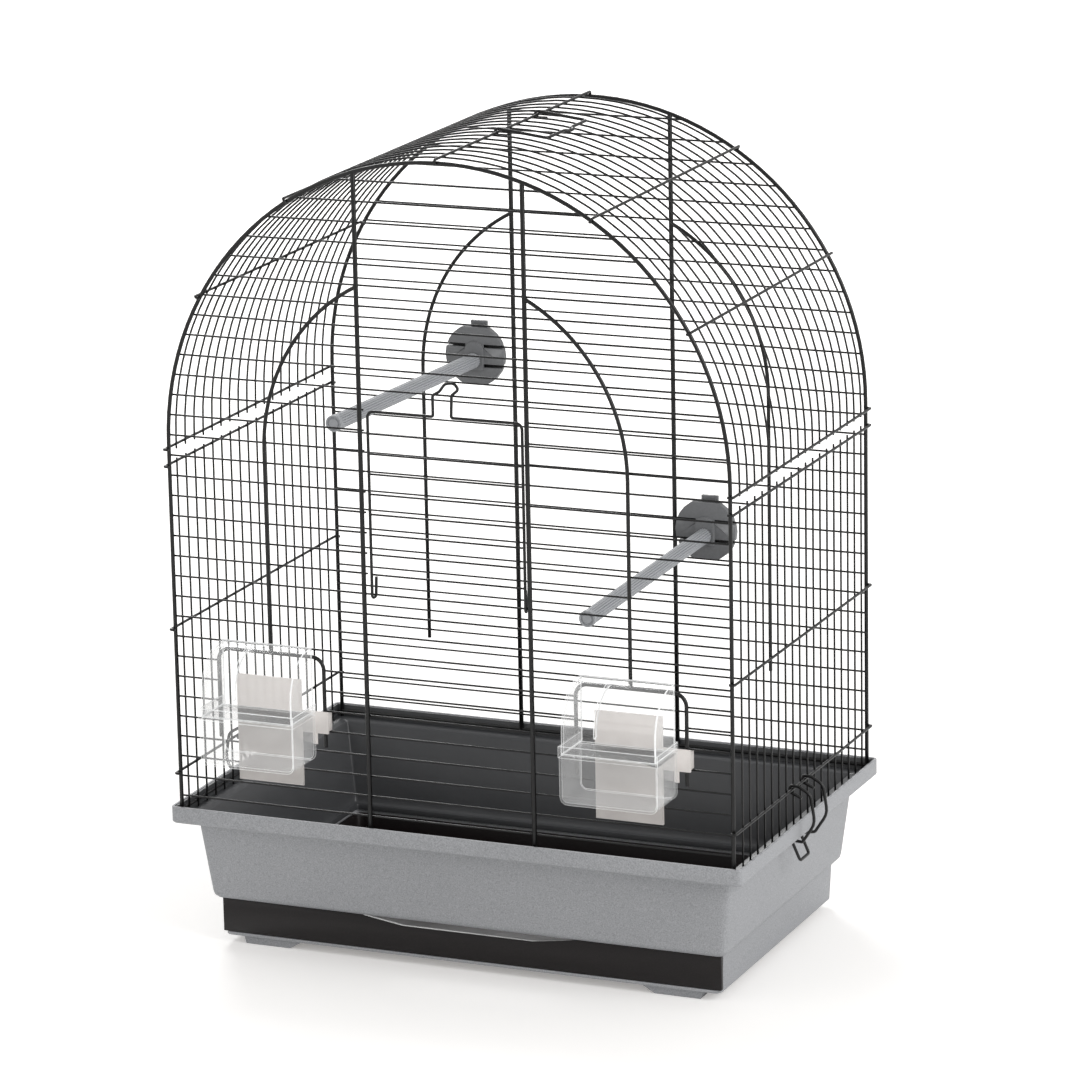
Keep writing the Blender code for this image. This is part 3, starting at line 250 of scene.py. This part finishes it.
def bent_wire(corners, bends, radius, sides=12, step=12.0):
    """A wire bent at each corner: each run is extruded and each bend is spun."""
    corners = [Vector(corner) for corner in corners]
    if not isinstance(bends, (list, tuple)):
        bends = [bends] * (len(corners) - 2)
    place = corners[0]
    heading = (corners[1] - corners[0]).normalized()
    bpy.ops.mesh.select_all(action="DESELECT")
    bpy.ops.mesh.primitive_circle_add(
        vertices=sides, radius=radius, fill_type="NGON", location=place,
        rotation=heading.to_track_quat("Z", "Y").to_euler())
    for corner, after, bend in zip(corners[1:], corners[2:], bends):
        ahead = (after - corner).normalized()
        turn = heading.angle(ahead)
        reach = bend * math.tan(turn / 2)
        bend_start = corner - heading * reach
        if (bend_start - place).length > 0.00001:
            bpy.ops.mesh.extrude_region_move(TRANSFORM_OT_translate={"value": bend_start - place})
        axis = heading.cross(ahead).normalized()
        bpy.ops.mesh.spin(
            steps=max(2, round(math.degrees(turn) / step)), angle=-turn,
            center=bend_start + axis.cross(heading) * bend, axis=axis)
        place = corner + ahead * reach
        heading = ahead
    bpy.ops.mesh.extrude_region_move(TRANSFORM_OT_translate={"value": corners[-1] - place})


def finish_wires(piece, cut=0.0002):
    """Breaks the cut edges of the wires' ends and closes the mesh."""
    bpy.ops.mesh.select_mode(type="FACE")
    bpy.ops.mesh.select_all(action="SELECT")
    bpy.ops.mesh.normals_make_consistent(inside=False)
    bpy.ops.mesh.select_all(action="DESELECT")
    ends = bmesh.from_edit_mesh(piece.data)
    for face in ends.faces:
        face.select_set(len(face.verts) > 4)
    bmesh.update_edit_mesh(piece.data)
    bpy.ops.mesh.bevel(offset=cut, segments=2, affect="EDGES")
    bpy.ops.object.mode_set(mode="OBJECT")
    bpy.ops.object.shade_smooth_by_angle(angle=math.radians(50))


def panel_frame(y):
    """The arched frame of a panel and its bottom wire."""
    top_z = spring_z + frame_x
    bent_wire([(-frame_x, y, frame_foot_z), (-frame_x, y, top_z), (frame_x, y, top_z),
               (frame_x, y, frame_foot_z)], frame_x, thick_wire, sides=16, step=3.0)
    straight_wire((-frame_x, y, bottom_wire_z), (frame_x, y, bottom_wire_z), thick_wire, sides=12)


def upright(x, y):
    """One of the two thickest wires, which tie the bottom wire to the arch."""
    straight_wire((x, y, upright_foot_z), (x, y, upright_top_z), upright_wire, sides=16)


def inner_arch(y, side, foot_z):
    """One leg of the ornamental arch, bent over to the upright."""
    stop = math.acos(upright_x / arch_x)
    reach = arch_x / math.cos(stop / 2)
    end = Vector((upright_x, 0, spring_z + arch_x * math.sin(stop)))
    path = [Vector((arch_x, 0, foot_z)),
            Vector((reach * math.cos(stop / 2), 0, spring_z + reach * math.sin(stop / 2))),
            end + Vector((-math.sin(stop), 0, math.cos(stop))) * 0.0005]
    bent_wire([(side * p.x, y, p.z) for p in path], arch_x, arch_wire, step=3.0)


def half_row(z):
    """How far a row runs from the middle until its end is welded to the frame."""
    return math.sqrt(frame_x ** 2 - max(0.0, z - spring_z) ** 2) + weld_overlap


front_y = base_middle_y - frame_y
loop_half = 0.0367
loop_in, loop_out = arch_x - loop_half, arch_x + loop_half
loop_foot_z, loop_top_z, loop_bend = 0.1459, 0.2045, 0.008
feeder_rows = range(4, 8)
hinge_row = 11
door_rows = range(12, 21)
door_gap = 0.05415

front = start_wires("front_panel_wires")
panel_frame(front_y)
for side in (-1, 1):
    upright(side * upright_x, front_y + 0.0002)
    inner_arch(front_y, side, loop_top_z)
    low, high = side * arch_x - loop_half, side * arch_x + loop_half
    bent_wire([(low, front_y, loop_foot_z), (low, front_y, loop_top_z), (high, front_y, loop_top_z),
               (high, front_y, loop_foot_z)], loop_bend, arch_wire, step=9.0)
for row, z in enumerate(row_heights):
    # Above the door's hinge the front rows are a little closer.
    z -= max(0, row - hinge_row) * 0.00012
    half = half_row(z)
    stops = [-half, half]
    if row in feeder_rows:
        stops = [-half, -loop_out, -loop_in, loop_in, loop_out, half]
    if row in door_rows:
        stops = [-half, -door_gap, door_gap, half]
    y = base_middle_y - row_y
    for start, end in zip(stops[::2], stops[1::2]):
        straight_wire((start, y, z), (end, y, z), thin_wire)
finish_wires(front)
fit(front, black_enamel, "cage", "black_wire", "front_panel")


# Rear panel
# The same frame and rows without the door and the feeder loops, in the same enamelled wire.
# Its inner arch ends in free feet, and it carries the two perches.

rear_y = base_middle_y + frame_y
rear_arch_foot_z = 0.1498

rear = start_wires("rear_panel_wires")
panel_frame(rear_y)
for side in (-1, 1):
    upright(side * upright_x, rear_y - 0.0002)
    inner_arch(rear_y, side, rear_arch_foot_z)
for z in row_heights:
    y = base_middle_y + row_y
    straight_wire((-half_row(z), y, z), (half_row(z), y, z), thin_wire)
finish_wires(rear)
fit(rear, black_enamel, "cage", "black_wire", "rear_panel")


# Side panels
# Thin uprights welded inside four rails; the ends of the upper three are bent round the
# frames. The uprights' cut tips stand just above the top rail.

rail_x = 0.1917
rail_wire = 0.0009
low_rail_z, middle_rail_z, top_rail_z = 0.1185, 0.2139, 0.3205
bottom_rail_y = 0.1197
hook_y, hook_length, hook_bend = 0.1238, 0.0034, 0.0012
grid_x = 0.1904
grid_pitch = 2 * frame_y / 19
grid_tip_z = 0.3231


def hooked_rail(rail, inwards):
    """A rail from front to rear, its ends bent in round the two frames."""
    rail, inwards = Vector(rail), Vector(inwards) * hook_length
    back, ahead = Vector((0, base_middle_y + hook_y, 0)), Vector((0, base_middle_y - hook_y, 0))
    bent_wire([rail + ahead + inwards, rail + ahead, rail + back, rail + back + inwards],
              hook_bend, rail_wire, step=18.0)


for side, word in ((-1, "left"), (1, "right")):
    panel = start_wires(f"{word}_side_wires")
    for z in (low_rail_z, middle_rail_z, top_rail_z):
        hooked_rail((side * rail_x, 0, z), (-side, 0, 0))
    straight_wire((side * rail_x, base_middle_y - bottom_rail_y, bottom_wire_z),
                  (side * rail_x, base_middle_y + bottom_rail_y, bottom_wire_z), rail_wire, sides=12)
    for wire in range(1, 19):
        y = base_middle_y - frame_y + wire * grid_pitch
        straight_wire((side * grid_x, y, frame_foot_z), (side * grid_x, y, grid_tip_z), thin_wire)
    finish_wires(panel)
    fit(panel, black_enamel, "cage", "black_wire", f"{word}_side_panel")


# Roof
# Thin hoops bent over a former and welded under seven rails.
# The two lowest rails run along the roof's edges, next to the side panels' top rails.

hoop_foot_z = 0.3289
hoop_top_z = spring_z + grid_x
first_hoop_y = base_middle_y - frame_y + grid_pitch

roof = start_wires("roof_wires")
bent_wire([(grid_x, first_hoop_y, hoop_foot_z), (grid_x, first_hoop_y, hoop_top_z),
           (-grid_x, first_hoop_y, hoop_top_z), (-grid_x, first_hoop_y, hoop_foot_z)],
          grid_x, thin_wire, sides=10, step=3.75)
bpy.ops.mesh.select_all(action="SELECT")
for copy in range(17):
    bpy.ops.mesh.duplicate_move(TRANSFORM_OT_translate={"value": (0, grid_pitch, 0)})
for side in (-1, 1):
    hooked_rail((side * rail_x, 0, spring_z - 0.0045), (-side, 0, 0))
for degrees in (30.0, 57.5, 90.0, 122.5, 150.0):
    out = Vector((math.cos(math.radians(degrees)), 0, math.sin(math.radians(degrees))))
    hooked_rail(Vector((0, 0, spring_z)) + out * rail_x, -out)
finish_wires(roof)
fit(roof, black_enamel, "cage", "black_wire", "roof_panel")


# Door
# A bent wire flap: its legs hook round the lowest wire of the opening and turn on it.
# The top wire rises into a sprung catch that snaps over the wire above.

door_wire = 0.00095
hinge_y, hinge_z = base_middle_y - row_y, 0.24874
leg_hook = 0.0019
door_y = hinge_y - leg_hook
door_top = hinge_z + 0.1178
left_x, right_x = 0.0014 - 0.052, 0.0014 + 0.052
leg_bends = [0.0018, 0.0018, 0.004]
catch = [(-0.0061, door_top), (-0.0061, 0.37994), (-0.0015, 0.38258), (0.0024, 0.38786),
         (0.0085, 0.38874), (0.0116, 0.38478), (0.0067, 0.38082), (0.0061, door_top)]
catch_bends = [0.0013, 0.0018, 0.004, 0.0045, 0.004, 0.002, 0.002, 0.0013]


def hooked_leg(x, inwards):
    """A leg of the door, from the cut end of its hook up to the top corner."""
    return [(x + inwards * 0.0014, hinge_y + leg_hook, hinge_z + 0.0112),
            (x + inwards * 0.0009, hinge_y + leg_hook, hinge_z - leg_hook),
            (x, door_y, hinge_z - leg_hook), (x, door_y, door_top)]


door = start_wires("door_wires")
bent_wire([*hooked_leg(left_x, 1), *[(x, door_y, z) for x, z in catch], *reversed(hooked_leg(right_x, -1))],
          [*leg_bends, *catch_bends, *reversed(leg_bends)], door_wire, step=15.0)
for row in range(8):
    z = hinge_z + 0.0129 * (row + 1)
    straight_wire((left_x, door_y + 0.0014, z), (right_x, door_y + 0.0014, z), thin_wire)
finish_wires(door)
fit(door, black_enamel, "door", "black_wire", "front_door")


# Carry handle
# A bail of thicker wire with an eye round the ridge rail at each end.
# It lies folded on the roof, and the kink in its bar locates a hook.

bail_wire = 0.001
eye = 0.0022
ridge_z = spring_z + rail_x
bar_x, bar_z = 0.0329, ridge_z - eye
kink_x, kink_z = bar_x + 0.0032, bar_z - 0.0003
near_y = base_middle_y - frame_y + 7.5 * grid_pitch
far_y = base_middle_y - frame_y + 12.5 * grid_pitch
middle_y = (near_y + far_y) / 2
bail_bends = [0.0021, 0.0019, 0.0025]
kink_bends = [0.0014, 0.0014, 0.0014, 0.0014]


def bail_end(y):
    """The eye at one end of the bail, from its cut end, and the arm down to the bar."""
    return [(0.006, y, ridge_z - eye), (-eye, y, ridge_z - eye), (-eye, y, ridge_z + eye),
            (bar_x, y, bar_z)]


handle = start_wires("carry_handle_wire")
kink = [(bar_x, middle_y - 0.005, bar_z), (kink_x, middle_y - 0.0025, kink_z),
        (kink_x, middle_y + 0.0025, kink_z), (bar_x, middle_y + 0.005, bar_z)]
bent_wire([*bail_end(near_y), *kink, *reversed(bail_end(far_y))],
          [*bail_bends, *kink_bends, *reversed(bail_bends)], bail_wire, step=15.0)
finish_wires(handle)
fit(handle, black_enamel, "handle", "black_wire", "carry_handle")


# Latches
# Each is one wire: two eyes round the low rail, arms bowed round the rim, and a finger tab.
# The springy bow holds the tab under the rim, which clamps the wire body on the base.

latch_y = base_middle_y - 0.0115
eye_y, tab_y = 0.0114, 0.008
arm_bends = [0.002, 0.0018, 0.0008, 0.006, 0.012, 0.0015, 0.0012]
tab_bend = 0.002


def latch_arm(side, end):
    """An arm from its cut end round the rail and the rim to the corner above the tab."""
    profile = [(rail_x + 0.0056, low_rail_z - 0.0056), (rail_x - eye, low_rail_z - eye),
               (rail_x - eye, low_rail_z + eye), (rail_x + 0.0035, low_rail_z + 0.0018),
               (0.20318, 0.11576), (0.20615, 0.09702), (0.1976, 0.084)]
    arm = [(side * x, latch_y + end * eye_y, z) for x, z in profile]
    return [*arm, (side * 0.189, latch_y + end * tab_y, 0.0834)]


for side, word in ((-1, "left"), (1, "right")):
    latch = start_wires(f"{word}_latch_wire")
    tab = [(side * 0.19475, latch_y + end * tab_y, 0.07047) for end in (-1, 1)]
    bent_wire([*latch_arm(side, -1), *tab, *reversed(latch_arm(side, 1))],
              [*arm_bends, tab_bend, tab_bend, *reversed(arm_bends)], bail_wire, step=15.0)
    finish_wires(latch)
    fit(latch, black_enamel, f"{word}_latch", "black_wire", f"{word}_latch")


# Feeders
# Clear polystyrene: a hood with a rounded front over a cup for seed or water, and behind
# them a milky bracket, a plate whose clip holds the right leg of the wire loop.

# Thin clear walls: the wires behind stay straight, and the walls whiten where seen at a slant, a painted
# reflection made by a white cover that thickens towards the slant.
clear_ps, tree, shader, place = new_finish("clear polystyrene, polished mould", 0.05, 1.59)
shimmer = add_node(tree, "ShaderNodeTexNoise", {"Scale": 30.0, "Detail": 2.0}, {"Vector": place})
shade = add_node(tree, "ShaderNodeValToRGB", {}, {"Fac": shimmer.outputs["Fac"]})
shade.color_ramp.elements[0].color = linear("#f4f5f5")
shade.color_ramp.elements[1].color = linear("#ffffff")
tree.links.new(shade.outputs["Color"], shader.inputs["Base Color"])
gloss = add_node(tree, "ShaderNodeMapRange", {"To Min": 0.03, "To Max": 0.1},
                 {"Value": shimmer.outputs["Fac"]})
tree.links.new(gloss.outputs["Result"], shader.inputs["Roughness"])
slant = add_node(tree, "ShaderNodeLayerWeight", {"Blend": 0.2}, {})
cover = add_node(tree, "ShaderNodeMapRange", {"To Min": 0.05, "To Max": 0.5},
                 {"Value": slant.outputs["Facing"]})
tree.links.new(cover.outputs["Result"], shader.inputs["Alpha"])

# The edges of clear plastic are painted as white lines that glow faintly: a painted highlight standing in
# for the light that real edges gather.
painted_glow_edge, tree, shader, place = new_finish("clear polystyrene, painted glow in its edges", 0.12, 1.59)
shimmer = add_node(tree, "ShaderNodeTexNoise", {"Scale": 220.0, "Detail": 2.0}, {"Vector": place})
shade = add_node(tree, "ShaderNodeValToRGB", {}, {"Fac": shimmer.outputs["Fac"]})
shade.color_ramp.elements[0].color = linear("#f4f6f6")
shade.color_ramp.elements[1].color = linear("#ffffff")
tree.links.new(shade.outputs["Color"], shader.inputs["Base Color"])
cover = add_node(tree, "ShaderNodeMapRange",
                 {"From Min": 0.3, "From Max": 0.7, "To Min": 0.75, "To Max": 1.0},
                 {"Value": shimmer.outputs["Fac"]})
tree.links.new(cover.outputs["Result"], shader.inputs["Alpha"])
# This emission is a painted glow on the edges, which are no lamp.
shader.inputs["Emission Color"].default_value = (1.0, 1.0, 1.0, 1.0)
shader.inputs["Emission Strength"].default_value = 0.2

# Milky polypropylene lets a little of what is behind it through.
milky_pp, tree, shader, place = new_finish("milky polypropylene, fine matt", 0.34)
cloud = add_node(tree, "ShaderNodeTexNoise", {"Scale": 90.0, "Detail": 4.0}, {"Vector": place})
shade = add_node(tree, "ShaderNodeValToRGB", {}, {"Fac": cloud.outputs["Fac"]})
shade.color_ramp.elements[0].color = linear("#f8f1ed")
shade.color_ramp.elements[1].color = linear("#fffaf6")
tree.links.new(shade.outputs["Color"], shader.inputs["Base Color"])
gloss = add_node(tree, "ShaderNodeMapRange", {"To Min": 0.26, "To Max": 0.42},
                 {"Value": cloud.outputs["Fac"]})
tree.links.new(gloss.outputs["Result"], shader.inputs["Roughness"])
cover = add_node(tree, "ShaderNodeMapRange", {"To Min": 0.72, "To Max": 0.88},
                 {"Value": cloud.outputs["Fac"]})
# More shows through the tongue, which is the plate's end below the cup.
height = add_node(tree, "ShaderNodeSeparateXYZ", {}, {"Vector": place})
tongue = add_node(tree, "ShaderNodeMapRange", {"From Min": 0.137, "From Max": 0.14, "To Min": 0.45},
                  {"Value": height.outputs["Z"]})
cover = add_node(tree, "ShaderNodeMath", {"operation": "MULTIPLY"},
                 {0: cover.outputs["Result"], 1: tongue.outputs["Result"]})
tree.links.new(cover.outputs["Value"], shader.inputs["Alpha"])

for side in ("left", "right"):
    for node, body, edge in (("hood", "feeder", 0.00045), ("cup", "cup", 0.00055)):
        # Each shell's bevelled edges take the painted white glow.
        piece = moulded_copy(f"{side}_feeder_{node}", f"{side}_feeder_{node}_shell", edge, 30.0,
                             edge_finish=painted_glow_edge)
        fit(piece, clear_ps, f"{side}_{body}", "clear_feeder", f"{side}_feeder_{node}")
    bracket = moulded_copy(f"{side}_feeder_bracket", f"{side}_feeder_clip", 0.0003)
    fit(bracket, milky_pp, "cage", "milky_bracket", f"{side}_feeder_bracket")


# Perches
# A fluted rod, extruded in pale grey polypropylene, on a darker moulded socket disc inside
# the rear wires, and a backplate outside them. The two discs are turned against each other
# to grip the wires between them.

def matt_grey(name, grain_scale, dark, light):
    """A matt plastic whose fine grain shows in its colour and in its relief."""
    finish, tree, shader, place = new_finish(name, 0.42)
    grain = add_node(tree, "ShaderNodeTexNoise", {"Scale": grain_scale, "Detail": 3.0},
                     {"Vector": place})
    shade = add_node(tree, "ShaderNodeValToRGB", {}, {"Fac": grain.outputs["Fac"]})
    shade.color_ramp.elements[0].color = linear(dark)
    shade.color_ramp.elements[1].color = linear(light)
    tree.links.new(shade.outputs["Color"], shader.inputs["Base Color"])
    relief = add_node(tree, "ShaderNodeBump", {"Strength": 0.2, "Distance": 0.0001},
                      {"Height": grain.outputs["Fac"]})
    tree.links.new(relief.outputs["Normal"], shader.inputs["Normal"])
    return finish


grey_disc = matt_grey("grey polypropylene, fine matt", 700.0, "#737476", "#828385")
pale_rod = matt_grey("pale grey polypropylene, extruded", 500.0, "#a4a6aa", "#b7b9bc")

rod_length, rod_radius, flutes, groove_ratio = 0.208, 0.0051, 20, 0.87
cap_radius, cap_length, cap_sides = 0.00535, 0.0035, 48


def fluted_rod(name, foot, lean):
    """A fluted rod with a round cap on its tip, leaning from straight ahead in x and z."""
    ahead = math.sqrt(rod_length ** 2 - lean[0] ** 2 - lean[1] ** 2)
    along = Vector((lean[0], -ahead, lean[1])).normalized()
    bpy.ops.object.select_all(action="DESELECT")
    bpy.ops.mesh.primitive_circle_add(vertices=4 * flutes, radius=rod_radius, fill_type="NGON")
    rod = bpy.context.active_object
    rod.name = name
    bpy.ops.object.mode_set(mode="EDIT")
    bpy.ops.mesh.select_mode(type="VERT")
    bpy.ops.mesh.select_all(action="DESELECT")
    shape = bmesh.from_edit_mesh(rod.data)
    shape.verts.ensure_lookup_table()
    for corner in shape.verts:
        corner.select_set(corner.index % 4 == 0)
    bmesh.update_edit_mesh(rod.data)
    bpy.ops.transform.resize(value=(groove_ratio, groove_ratio, 1.0), center_override=(0.0, 0.0, 0.0))
    bpy.ops.mesh.select_mode(type="FACE")
    bpy.ops.mesh.select_all(action="SELECT")
    bpy.ops.mesh.extrude_region_move(
        TRANSFORM_OT_translate={"value": (0, 0, rod_length - cap_length)})
    # The cap is a separate moulding, pressed into the bore, with a rim and a boss on its face.
    bpy.ops.mesh.primitive_cylinder_add(
        vertices=cap_sides, radius=cap_radius, depth=cap_length,
        location=(0, 0, rod_length - cap_length / 2))
    bpy.ops.mesh.select_all(action="DESELECT")
    shape = bmesh.from_edit_mesh(rod.data)
    for face in shape.faces:
        is_tip = face.calc_center_median().z > rod_length - 0.0001
        face.select_set(len(face.verts) == cap_sides and is_tip)
    bmesh.update_edit_mesh(rod.data)
    for inset, rise in ((0.0009, 0.0), (0.0003, -0.001), (0.0009, 0.0), (0.0003, 0.0008)):
        bpy.ops.mesh.inset(thickness=inset, depth=rise)
    bpy.ops.mesh.select_all(action="SELECT")
    bpy.ops.mesh.normals_make_consistent(inside=False)
    bpy.ops.object.mode_set(mode="OBJECT")
    rod.rotation_euler = along.to_track_quat("Z", "X").to_euler()
    rod.location = foot
    bpy.ops.object.transform_apply(location=True, rotation=True, scale=False)
    bpy.ops.object.shade_smooth_by_angle(angle=math.radians(35))
    return rod


perch_y = base_middle_y + 0.1148
for level, foot, lean in (
        ("upper", (-0.0831, perch_y, 0.34504), (-0.0045, 0.0043)),
        ("lower", (0.0791, perch_y, 0.23912), (0.0033, -0.0012))):
    socket = moulded_copy(f"{level}_perch_socket", f"{level}_perch_disc", 0.0003, merge_flats=False)
    fit(socket, grey_disc, "cage", "grey_socket", f"{level}_perch_socket")
    plate = moulded_copy(f"{level}_perch_backplate", f"{level}_perch_clamp", 0.0003, merge_flats=False)
    fit(plate, grey_disc, f"{level}_backplate", "grey_socket", f"{level}_perch_backplate")
    rod = fluted_rod(f"{level}_perch_bar", foot, lean)
    fit(rod, pale_rod, "cage", "blue_grey_rod", f"{level}_perch_rod")


# Studio
# A plain pale floor under soft, even light, as in a product photograph.
# The camera stands in front, a little to the right and above, and looks with a long lens.

paper, tree, shader, place = new_finish("white paper sweep", 0.9)
fibre = add_node(tree, "ShaderNodeTexNoise", {"Scale": 3.0, "Detail": 2.0}, {"Vector": place})
shade = add_node(tree, "ShaderNodeValToRGB", {}, {"Fac": fibre.outputs["Fac"]})
shade.color_ramp.elements[0].color = linear("#f4f4f3")
shade.color_ramp.elements[1].color = linear("#f8f8f7")
tree.links.new(shade.outputs["Color"], shader.inputs["Base Color"])
# The glow that whitens the floor fades towards the cage, so that its soft shadow shows; the fade also
# paints shade on the floor round the cage.
path = tree.nodes.new("ShaderNodeLightPath")
reach = add_node(tree, "ShaderNodeVectorMath", {"operation": "LENGTH"}, {"Vector": place})
fade = add_node(tree, "ShaderNodeMapRange", {"From Min": 0.15, "From Max": 0.75, "To Min": 0.56},
                {"Value": reach.outputs["Value"]})
glow = add_node(tree, "ShaderNodeMath", {"operation": "MULTIPLY"},
                {0: path.outputs["Is Camera Ray"], 1: fade.outputs["Result"]})
tree.links.new(glow.outputs["Value"], shader.inputs["Emission Strength"])
# The glow is warm, which gives the floor's shade a painted warm tint.
shader.inputs["Emission Color"].default_value = (0.5, 0.48, 0.465, 1.0)
bpy.ops.mesh.primitive_plane_add(size=12.0, location=(0, 0, 0))
floor = bpy.context.active_object
floor.name = "studio_floor"
floor.data.materials.append(paper)

# The background is white to look at, and lights the cage at a plainer level.
world = bpy.data.worlds.new("studio")
bpy.context.scene.world = world
world.use_nodes = True
tree = world.node_tree
background = tree.nodes["Background"]
path = tree.nodes.new("ShaderNodeLightPath")
seen = add_node(tree, "ShaderNodeMath", {"operation": "MAXIMUM"},
                {0: path.outputs["Is Camera Ray"], 1: path.outputs["Is Transmission Ray"]})
level = add_node(tree, "ShaderNodeMapRange", {"To Min": 0.57, "To Max": 1.0},
                 {"Value": seen.outputs["Value"]})
background.inputs["Color"].default_value = (1.0, 1.0, 1.0, 1.0)
tree.links.new(level.outputs["Result"], background.inputs["Strength"])

lamp_target = Vector((0, 0, 0.25))
for name, place, size, power in (
        ("key_softbox", (2.6, -0.6, 1.7), 1.6, 38.0),
        ("fill_softbox", (-2.4, -2.0, 1.6), 2.0, 9.0),
        ("back_softbox", (-1.7, 2.5, 2.1), 1.3, 52.0)):
    bpy.ops.object.light_add(type="AREA", location=place)
    lamp = bpy.context.active_object
    lamp.name = name
    lamp.data.size = size
    lamp.data.energy = power
    lamp.rotation_euler = (lamp_target - Vector(place)).to_track_quat("-Z", "Y").to_euler()

azimuth, elevation, roll = math.radians(23.24), math.radians(14.72), math.radians(-1.1)
back = Vector((math.sin(azimuth) * math.cos(elevation), -math.cos(azimuth) * math.cos(elevation),
               math.sin(elevation)))
across = Vector((math.cos(azimuth), math.sin(azimuth), 0))
up = back.cross(across)
lens_x = across * math.cos(roll) + up * math.sin(roll)
lens_y = up * math.cos(roll) - across * math.sin(roll)
bpy.ops.object.camera_add(location=(1.33625, base_middle_y - 3.08425, 0.3316 + 0.80954))
camera = bpy.context.active_object
camera.name = "camera"
camera.rotation_mode = "QUATERNION"
turn = camera.matrix_world.to_3x3()
turn.col[0], turn.col[1], turn.col[2] = lens_x, lens_y, back
camera.rotation_quaternion = turn.to_quaternion()
camera.data.sensor_width = 36.0
camera.data.lens = 181.1
camera.data.clip_end = 50.0
bpy.context.scene.camera = camera
bpy.context.scene.view_settings.view_transform = "Standard"
